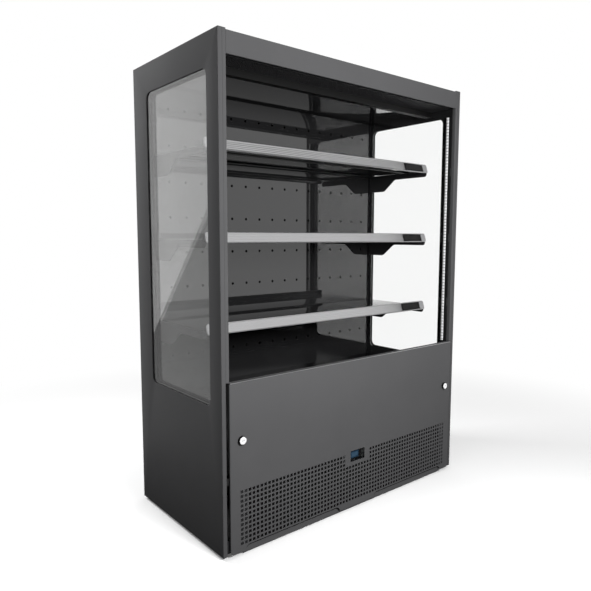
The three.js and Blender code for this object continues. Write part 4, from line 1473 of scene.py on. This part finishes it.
    def _lower_edge(self, a: Array) -> Array:
        """Height of the lower edge: two arches whose ends are quarter ellipses.

        Args:
            a: flat coordinate across.

        Returns:
            The height at each of them.
        """
        x, (near, far) = np.abs(a), self.arch
        inside = np.clip(np.minimum(x - near, far - x) / self.arch_corner, 0, 1)
        rise = self.arch_rise * np.sqrt(1 - (1 - inside) ** 2)
        return self.bottom + rise + np.clip(x - self.corner_x, 0, 10) * 0.8


@dataclass
class Latch(Assembly):
    """Quarter-turn latch: a cap on a black collar, with a coin slot across it; the cap's pale colour is painted
    reflection of its chrome.
    """

    side: Side = Side.LEFT
    x: float = 649.0
    z: float = 463.0
    radius: float = 18.0
    face_y: float = -20.0
    foot_y: float = -8.3  # just in front of the panel

    def build(self) -> None:
        """Builds the collar with the latch bar behind the panel, the cap and its slot."""
        x, z, r, front, foot = self.side.value * self.x, self.z, self.radius, self.face_y, self.foot_y
        word = self.side.word
        body = f"latch_{word}"
        collar = Shell(f"latch_collar_{word}")
        edge = [(r - 0.4, front + 2.4), (r, front + 3.0), (r, foot - 0.6), (r - 0.6, foot)]
        collar.turned([(0, front + 2.4), *edge, (6, foot), (6, -2.8), (0, -2.8)], (x, z), Axis.Y)
        collar.box((x - 22, -5.4, z - 7), (x + 10, -2.7, z + 7))
        self.make(collar, DEEP_BLACK, f"knob_{word}", body=body)
        turn = np.linspace(0, np.pi / 2, 7)
        rim = [(r - 5.0 + 2.2 * math.sin(t), front + 1.0 - 0.9 * math.cos(t)) for t in turn]
        dish, back = [(0.0, front + 0.9), (7.2, front + 0.9), (8.0, front + 0.1)], front + 2.3
        # The cap's pale colour stands in for the white that its chrome reflects: painted reflection.
        cap = Shell(f"latch_cap_{word}").turned([*dish, *rim, (r - 2.8, back), (0.0, back)], (x, z), Axis.Y)
        self.make(cap, CAP_PAINTED_REFLECTION, body=body, smooth_deg=40)
        slot = Shell(f"latch_slot_{word}")
        slot.box((x - 6.4, front + 0.6, z - 0.9), (x + 6.4, front + 0.88, z + 0.9))
        self.make(slot, PLASTIC, body=body, bevel=0.1)


@dataclass
class Controller(Assembly):
    """Temperature controller behind the panel's window: bezel, lens and two keys."""

    z: float = 243.0
    key_x: float = 28.0
    key_half: Span = (4.0, 5.0)
    key_offset: float = 8.0
    lens_x: Span = (-32.6, 19.6)
    field_x: Span = (-27.0, 14.0)
    back: float = 7.6

    def build(self) -> None:
        """Builds the controller."""
        self.copy("controller_body", "controller_bezel", DEEP_BLACK, 0.6)
        lens = self._pad("display_lens", self.lens_x, (self.z, 16.6), 1.5, (5.6, self.back))
        self.make(lens, LENS, "controller_display", bevel=0.3)
        self.make(self._pad("display_field", self.field_x, (self.z, 10.5), 1.0, (5.35, 5.58)), LCD)
        wide, half = self.key_half
        for number, z in ((1, self.z + self.key_offset), (2, self.z - self.key_offset)):
            span = (self.key_x - wide, self.key_x + wide)
            key = self._pad(f"key_cap_{number}", span, (z, half), 2.0, (4.4, self.back))
            self.make(key, DEEP_BLACK, f"controller_key_{number}", body=f"key_{number}", bevel=0.7, segments=3)

    def _pad(self, name: str, across: Span, up: Span, radius: float, deep: Span) -> Shell:
        """A flat block with round corners that faces the front.

        Args:
            name: the piece's name.
            across: where it starts and ends across.
            up: its middle height and half its height.
            radius: of the corners.
            deep: where it starts and ends in depth.

        Returns:
            The piece, not yet placed.
        """
        loop = rounded_loop(across[0], up[0] - up[1], across[1], up[0] + up[1], radius, 4)
        return Shell(name).prism(loop, *deep, Axis.Y)


@dataclass
class Fan(Assembly):
    """Axial fan rotor with cambered blades."""

    name: str = "condenser_fan"
    body: str = Body.CONDENSER_ROTOR.value
    x: float = -370.0
    z: float = 143.65
    radius: float = 106.0
    low_y: float = 96.0
    high_y: float = 122.0
    blades: int = 5
    bore: float = 5.0
    blade_half: float = 0.7  # half a blade's thickness

    def build(self) -> None:
        """Builds hub and blades.

        A blade point at share s of the chord and t of the span lies at radius r(t), turned by
        the chord angle, and moves along the axis with s by the pitch plus a parabola of camber.
        """
        hub, low, high, bore = self.radius * 0.3, self.low_y, self.high_y, self.bore
        shell = Shell(f"{self.name}_rotor")
        round_edge = [(hub - 3, low), (hub, low + 3), (hub, high - 1), (hub - 1, high)]
        shell.turned([(bore, low), *round_edge, (bore, high), (bore, low)], (self.x, self.z), Axis.Y, 40)
        t = np.linspace(0, 1, 9)[:, None]
        s = np.linspace(-0.5, 0.5, 11)[None, :]
        r = hub * 0.94 + (self.radius * 0.985 - hub * 0.94) * t
        narrowing = np.sqrt(np.clip(1 - np.maximum(t - 0.8, 0) ** 2 * 6, 0, 1))
        width = np.radians(46 + 10 * np.sin(np.pi * t)) * narrowing
        y = (low + high) / 2 + (high - low) * 0.8 * s * (1 - 0.25 * t) + 2.0 * (4 * s**2 - 1)
        offset = np.array([0, self.blade_half, 0])
        for turn in 2 * np.pi * np.arange(self.blades) / self.blades:
            angle = turn + np.radians(10) * t**2 + width * s
            x, z = self.x + r * np.cos(angle), self.z + r * np.sin(angle)
            middle = np.stack(np.broadcast_arrays(x, y, z), -1)
            shell.grid(middle - offset).grid(middle + offset)
            loop = np.concatenate([middle[0, :-1], middle[:-1, -1], middle[-1, :0:-1], middle[:0:-1, 0]])
            shell.grid(np.stack([loop - offset, loop + offset]), wrap_columns=True)
        self.make(shell, FAN_PLASTIC, self.name, body=self.body, smooth_deg=50)


@dataclass
class Coil(Assembly):
    """Finned coil block: thin fins between two end plates, with tubes through them."""

    name: str = "condenser_coil"
    left: float = -570.0
    right: float = -170.0
    front: float = 40.0
    back: float = 84.0
    low: float = 13.3
    high: float = 274.0
    fins: int = 130
    feet: tuple[tuple[float, float, float, float, float], ...] = ()
    fin_half: float = 0.35
    plate: float = 2.0
    tube_radius: float = 4.5
    tube_pitch: float = 25.0

    def build(self) -> None:
        """Builds the fins as one array of thin blocks, then plates, feet and tubes."""
        shell = Shell(f"{self.name}_fins")
        pitch = (self.right - self.left - 12) / self.fins
        start = self.left + 6 + pitch * (np.arange(self.fins) + 0.5)
        fin = self.fin_half
        corners = np.array([[x, y, z] for x in (-fin, fin) for y in (0, 1) for z in (0, 1)], float)
        size = np.array([1.0, self.back - self.front - 2, self.high - self.low - 3])
        origin = np.array([0.0, self.front + 1, self.low + 1.5])
        blocks = corners[None, :, :] * size + origin + np.stack([start, 0 * start, 0 * start], -1)[:, None, :]
        faces = np.array([[0, 1, 3, 2], [4, 6, 7, 5], [0, 4, 5, 1], [2, 3, 7, 6], [0, 2, 6, 4], [1, 5, 7, 3]])
        shell.add(blocks, (faces[None] + 8 * np.arange(self.fins)[:, None, None]).reshape(-1, 4))
        for x in (self.left, self.right - self.plate):
            shell.box((x, self.front, self.low), (x + self.plate, self.back, self.high))
        for low_x, high_x, low_y, high_y, low_z in self.feet:
            shell.box((low_x, low_y, low_z), (high_x, high_y, self.low + 1))
        self.make(shell, FINS, self.name)
        pipes, r = Shell(f"{self.name}_tubes"), self.tube_radius
        first, last = self.left + 2.5, self.right - 2.5
        for level in np.arange(self.low + 22, self.high - 15, self.tube_pitch):
            for depth in (self.front + 13, self.back - 13):
                pipes.turned([(0, first), (r, first), (r, last), (0, last)], (depth, level), Axis.X, 10)
        self.make(pipes, COPPER)


@dataclass
class MachineSpace(Assembly):
    """Compressor, pipe, fans, coils, tray and electrical box in the base."""

    compressor: Span = (360.0, 420.0)
    fan_x: float = 330.0
    pipe_radius: float = 5.9
    pipe_bend: float = 20.0

    def build(self) -> None:
        """Builds the cooling unit."""
        Coil().build()
        feet = tuple((x, x + 30, 420.0, 540.0, 318.3) for x in (-480.0, 450.0))
        Coil("evaporator_coil", -560.0, 560.0, 410.0, 550.0, 328.0, 500.0, 150, feet).build()
        Fan().build()
        for side in Side:
            name, body = f"evaporator_fan_{side.word}", f"evaporator_rotor_{side.word}"
            Fan(name, body, side.value * self.fan_x, 428.0, 92.0, 332.0, 350.0).build()
        self.shell()
        self.pipe()
        for node, name, finish, bevel in (
            ("fan_plate", "evaporator_fan_plate", GALVANISED, 0.5),
            ("condenser_shroud", "fan_shroud", BLACK_COAT, 0.5),
            ("evaporation_tray", "water_tray", PLASTIC, 0.8),
            ("electrical_box", "control_box", GALVANISED, 0.8),
        ):
            self.copy(node, name, finish, bevel)

    def shell(self) -> None:
        """Welded compressor shell, base plate, rubber mounts and terminal cover."""
        x, y = self.compressor
        corners = [
            [0, 24], [66, 24], [86, 40], [92, 74], [92, 112], [95.5, 114],
            [95.5, 122], [92, 124], [88, 156], [68, 192], [0, 208],
        ]
        shell = Shell("compressor_shell").turned(filleted(corners, 14.0).tolist(), (x, y), Axis.Z, 56)
        shell.prism(rounded_loop(x - 115, y - 70, x + 115, y + 70, 14), 20.0, 24.6, Axis.Z)
        shell.box((x - 122, y - 30, 100), (x - 80, y + 30, 150))
        mount = [(0, 13.3), (14, 13.3), (13.4, 19.8), (10, 21), (10, 29), (6, 30), (0, 30)]
        for dx in (-95, 95):
            for dy in (-52, 52):
                shell.turned(mount, (x + dx, y + dy), Axis.Z, 20)
        self.make(shell, BLACK_COAT, "compressor", smooth_deg=40, bevel=0.8)

    def pipe(self) -> None:
        """Copper line in straight runs and round bends, as a tube along its route."""
        x, y = self.compressor
        run_x, high = x + 170, 250
        rise = [[x + 20, y, 207.4], [x + 20, y, high]]
        run = [[run_x, y + 40, high], [run_x, y + 160, high], [run_x, y + 160, 289.6]]
        corners = np.array([*rise, *run])
        share = np.linspace(0, 1, 7)[:, None]
        route, start = [corners[:1]], corners[0]
        for here, ahead in zip(corners[1:-1], corners[2:]):
            into = here - (here - start) / np.linalg.norm(here - start) * self.pipe_bend
            out_of = here + (ahead - here) / np.linalg.norm(ahead - here) * self.pipe_bend
            route.append((1 - share) ** 2 * into + 2 * share * (1 - share) * here + share**2 * out_of)
            start = out_of
        route.append(corners[-1:])
        self.make(Shell("copper_line").tube(np.concatenate(route), self.pipe_radius), COPPER, "cooling_pipe")


@dataclass
class Base(Assembly):
    """Chassis, plinth strip and levelling feet."""

    feet_x: float = 640.0
    feet_y: Span = (60.0, 650.0)

    def build(self) -> None:
        """Builds the base."""
        # The chassis gets a black coat in place of galvanised steel, so that it reads dark in the gap under the
        # front panel: painted shade.
        self.copy("base_frame", "chassis_painted_shade_black", BLACK_COAT, 0.5)
        self.copy("plinth_strip", "plinth_front", PAINT, 0.6)
        pad = [[0, -14], [24, -14], [22.5, -8], [12, -4], [9, -3], [5, -2], [5, 34], [0, 34]]
        centres = [(x, y) for x in (-self.feet_x, self.feet_x) for y in self.feet_y]
        for number, centre in enumerate(centres, 1):
            name = f"levelling_foot_{number}"
            foot = Shell(name).turned(filleted(pad, 1.6, 3).tolist(), centre, Axis.Z, 36)
            self.make(foot, RUBBER, f"foot_{number}", body=name, smooth_deg=40)


@dataclass
class Rear(Assembly):
    """Insulated back, louvred cover of the machine space and mains inlet."""

    half: float = 714.7
    inlet_x: float = 500.0
    cover_z: Span = (14.0, 289.7)
    cover_y: float = 710.0
    sheet: float = 1.6
    screw_x: tuple[float, ...] = (-690.0, -390.0, -90.0, 210.0, 488.0, 514.0, 700.0)
    screw_z: Span = (24.0, 279.0)

    def build(self) -> None:
        """Builds the back."""
        self.copy("rear_panel", "insulated_back", PAINT, 1.2)
        a = cell_lines(6, 160.0, 30.0, -575.0, -self.half, self.inlet_x)
        b = cell_lines(8, 22.0, 13.0, 59.5, *self.cover_z)

        def place(u: Array, v: Array, w: float) -> Array:
            """Stands the flat sheet up behind the cabinet."""
            return np.stack([u, self.cover_y + w + 0 * u, v], -1)

        self.make(slotted("machine_space_cover", a, b, self.sheet, place), GALVANISED, "rear_grille")
        self.copy("power_inlet", "mains_inlet", PLASTIC, 0.5)
        self.screws()

    def screws(self) -> None:
        """Domed screws along the cover's edges."""
        shell, seat = Shell("cover_screws"), self.cover_y + self.sheet + 0.1
        dome = [(4.2 * math.cos(t), seat + 2.0 * math.sin(t)) for t in np.linspace(0, np.pi / 2, 5)]
        for x in self.screw_x:
            for z in self.screw_z:
                shell.turned([(0.0, seat), *dome], (x, z), Axis.Y, 16)
        self.make(shell, CHROME)


# ---- studio ----------------------------------------------------------------------------------


@dataclass
class Lamp:
    """A soft square lamp: places in metres, size in metres, power in watts."""

    name: str
    at: Point
    aim: Point
    size: float
    power: float

    def build(self) -> None:
        """Adds the lamp, which lights the object but never shows in it."""
        data = bpy.data.lights.new(self.name, "AREA")
        data.size, data.energy = self.size, self.power
        made = linked(self.name, data)
        made.location = self.at
        made.rotation_euler = (Vector(self.aim) - Vector(self.at)).to_track_quat("-Z", "Y").to_euler()
        made.visible_glossy = made.visible_camera = made.visible_transmission = False


@dataclass
class Studio:
    """Pale floor, soft lamps, a grey card and the camera at the photograph's viewpoint."""

    camera_at: Point = (-1.86176, -2.15475, 1.26823)
    yaw: float = 0.689846
    pitch: float = -0.102884
    roll: float = -0.001558
    focal_px: float = 570.70
    frame_px: float = 591.0
    floor_half: float = 40.0
    floor_glow: float = 0.1
    card_x: float = -1.9
    card_front: float = -1.6
    card_edge: tuple[Span, ...] = ((3.037, 0.0), (1.707, 1.488), (0.356, 3.0), (-0.985, 4.5))
    card_foot: float = 0.25
    card_light: float = 0.4
    sky: Span = (0.01, 0.37)  # at the horizon and overhead, for soft light
    lamps: tuple[Lamp, ...] = (
        Lamp("front_softbox", (-0.4, -2.5, 1.7), (-0.1, 0.0, 0.5), 0.7, 95.0),
        Lamp("top_softbox", (0.2, -0.2, 4.2), (0.0, 0.1, 1.0), 2.6, 54.0),
        Lamp("left_softbox", (-1.8, 2.3, 2.6), (-0.7, 0.4, 1.8), 1.3, 118.0),
    )

    def build(self) -> None:
        """Builds the studio."""
        self.floor()
        self.card()
        for lamp in self.lamps:
            lamp.build()
        self.world()
        self.camera()
        bpy.context.scene.view_settings.view_transform = "Standard"

    def _sheet(self, name: str, outlines: Sequence[Sequence[Point]], material_name: str) -> Nodes:
        """Adds a stage sheet of flat faces with a new material.

        Args:
            name: the sheet's name.
            outlines: the corners of each face, in metres.
            material_name: the material's name.

        Returns:
            The material's nodes, still empty.
        """
        mesh = bpy.data.meshes.new(name)
        starts = np.cumsum([0, *map(len, outlines)])
        faces = [tuple(range(first, last)) for first, last in zip(starts[:-1], starts[1:])]
        mesh.from_pydata([point for outline in outlines for point in outline], [], faces)
        material = bpy.data.materials.new(material_name)
        material.use_nodes = True
        mesh.materials.append(material)
        linked(name, mesh)
        return Nodes(material.node_tree)

    def floor(self) -> None:
        """A large pale floor: white where it is looked at, with the object's shadow near it.

        Seen directly, mirrored or through glass, it is diffuse white plus a share of its own
        light, which grows to full white with distance. To soft light it is a plain grey. Rays
        that have bounced off the object meet it nearly black close by, as in the object's shadow.
        """
        end = self.floor_half
        corners = [(-end, -end, 0.0), (end, -end, 0.0), (end, end, 0.0), (-end, end, 0.0)]
        nodes = self._sheet("studio_floor", [corners], "pale_floor")
        path = nodes.add("LightPath").outputs
        reach = nodes.add("VectorMath", {0: nodes.add("TexCoord").outputs["Object"]}, operation="LENGTH")
        far = nodes.ramp(reach.outputs["Value"], 1.2, 3.2, interpolation_type="SMOOTHSTEP")
        near = nodes.add("AddShader", {0: nodes.diffuse(0.82), 1: nodes.glow(self.floor_glow)})
        look = nodes.add("MixShader", {0: far, 1: near.outputs[0], 2: nodes.glow(1.0)})
        both = nodes.add("MixShader", {0: nodes.looked_at(), 1: nodes.diffuse(0.35), 2: look.outputs[0]})
        close = nodes.ramp(reach.outputs["Value"], 1.1, 2.1, 1.0, 0.0, interpolation_type="SMOOTHSTEP")
        bounces = nodes.math("ADD", path["Glossy Depth"], path["Diffuse Depth"])
        hidden = nodes.math("MULTIPLY", close, nodes.math("GREATER_THAN", bounces, 0.5))
        surface = nodes.add("MixShader", {0: hidden, 1: both.outputs[0], 2: nodes.glow(0.004)})
        nodes.add("OutputMaterial", {"Surface": surface.outputs[0]})

    def card(self) -> None:
        """Grey card beside the object: its sloping edge shows in the left window.

        It stands on a foot of the same grey. Only rays mirrored by the object meet it, so it
        never stands in a view or lights anything: their glossy depth is above nought while their
        diffuse depth, counted a hundredfold, is nought.
        """
        x, front, foot = self.card_x, self.card_front, self.card_x + self.card_foot
        back, lift = self.card_edge[0][0], 0.002
        upright = [(x, front, 0.0), *((x, y, z) for y, z in self.card_edge), (x, front, self.card_edge[-1][1])]
        flat = [(x, front, lift), (x, back, lift), (foot, back, lift), (foot, front, lift)]
        nodes = self._sheet("studio_card", [upright, flat], "studio_card_grey")
        path = nodes.add("LightPath").outputs
        diffuse = nodes.math("MULTIPLY", path["Diffuse Depth"], 100.0)
        mirrored = nodes.math("GREATER_THAN", nodes.math("SUBTRACT", path["Glossy Depth"], diffuse), 0.5)
        clear = nodes.add("BsdfTransparent").outputs[0]
        surface = nodes.add("MixShader", {0: mirrored, 1: clear, 2: nodes.glow(self.card_light)})
        nodes.add("OutputMaterial", {"Surface": surface.outputs[0]})

    def world(self) -> None:
        """White to the camera, in reflections and through glass, and a soft sky to the rest."""
        world = bpy.data.worlds.new("studio_world")
        bpy.context.scene.world = world
        world.use_nodes = True
        nodes = Nodes(world.node_tree)
        height = nodes.add("SeparateXYZ", {"Vector": nodes.add("TexCoord").outputs["Generated"]})
        sky = nodes.ramp(height.outputs["Z"], 0.0, 0.8, *self.sky)
        strength = nodes.add("Mix", {0: nodes.looked_at(), 2: sky, 3: 1.0}, data_type="FLOAT")
        back = nodes.add("Background", {"Color": WHITE, "Strength": strength.outputs[0]})
        nodes.add("OutputWorld", {"Surface": back.outputs[0]})

    def camera(self) -> None:
        """The camera, turned by yaw, pitch and roll from a level view along +Y."""
        lens = bpy.data.cameras.new("main_camera")
        lens.sensor_width = 36.0
        lens.lens = lens.sensor_width * self.focal_px / self.frame_px
        lens.clip_end = 200.0
        made = linked("main_camera", lens)
        ahead = math.cos(self.pitch)
        forward = Vector((math.sin(self.yaw) * ahead, math.cos(self.yaw) * ahead, math.sin(self.pitch)))
        right = Vector((math.cos(self.yaw), -math.sin(self.yaw), 0.0))
        turn = Matrix.Rotation(self.roll, 3, forward)
        axes = Matrix((turn @ right, turn @ right.cross(forward), -forward)).transposed()
        made.matrix_world = Matrix.Translation(self.camera_at) @ axes.to_4x4()
        bpy.context.scene.camera = made


def main() -> None:
    """Loads the solids, dresses every sub-assembly in turn and sets the studio."""
    logging.basicConfig(level=logging.INFO, format="%(name)s: %(message)s", stream=sys.stdout)
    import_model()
    shelves = [Shelf(number=number, top=top) for number, top in enumerate(SHELF_TOPS, 1)]
    walls, latches = ([kind(side=side) for side in Side] for kind in (SideWall, Latch))
    for part in (
        *walls, Canopy(), AirPanel(), *shelves, Deck(), FrontPanel(), *latches,
        Controller(), MachineSpace(), Base(), Rear(), Studio(),
    ):
        part.build()


if __name__ == "__main__":
    main()
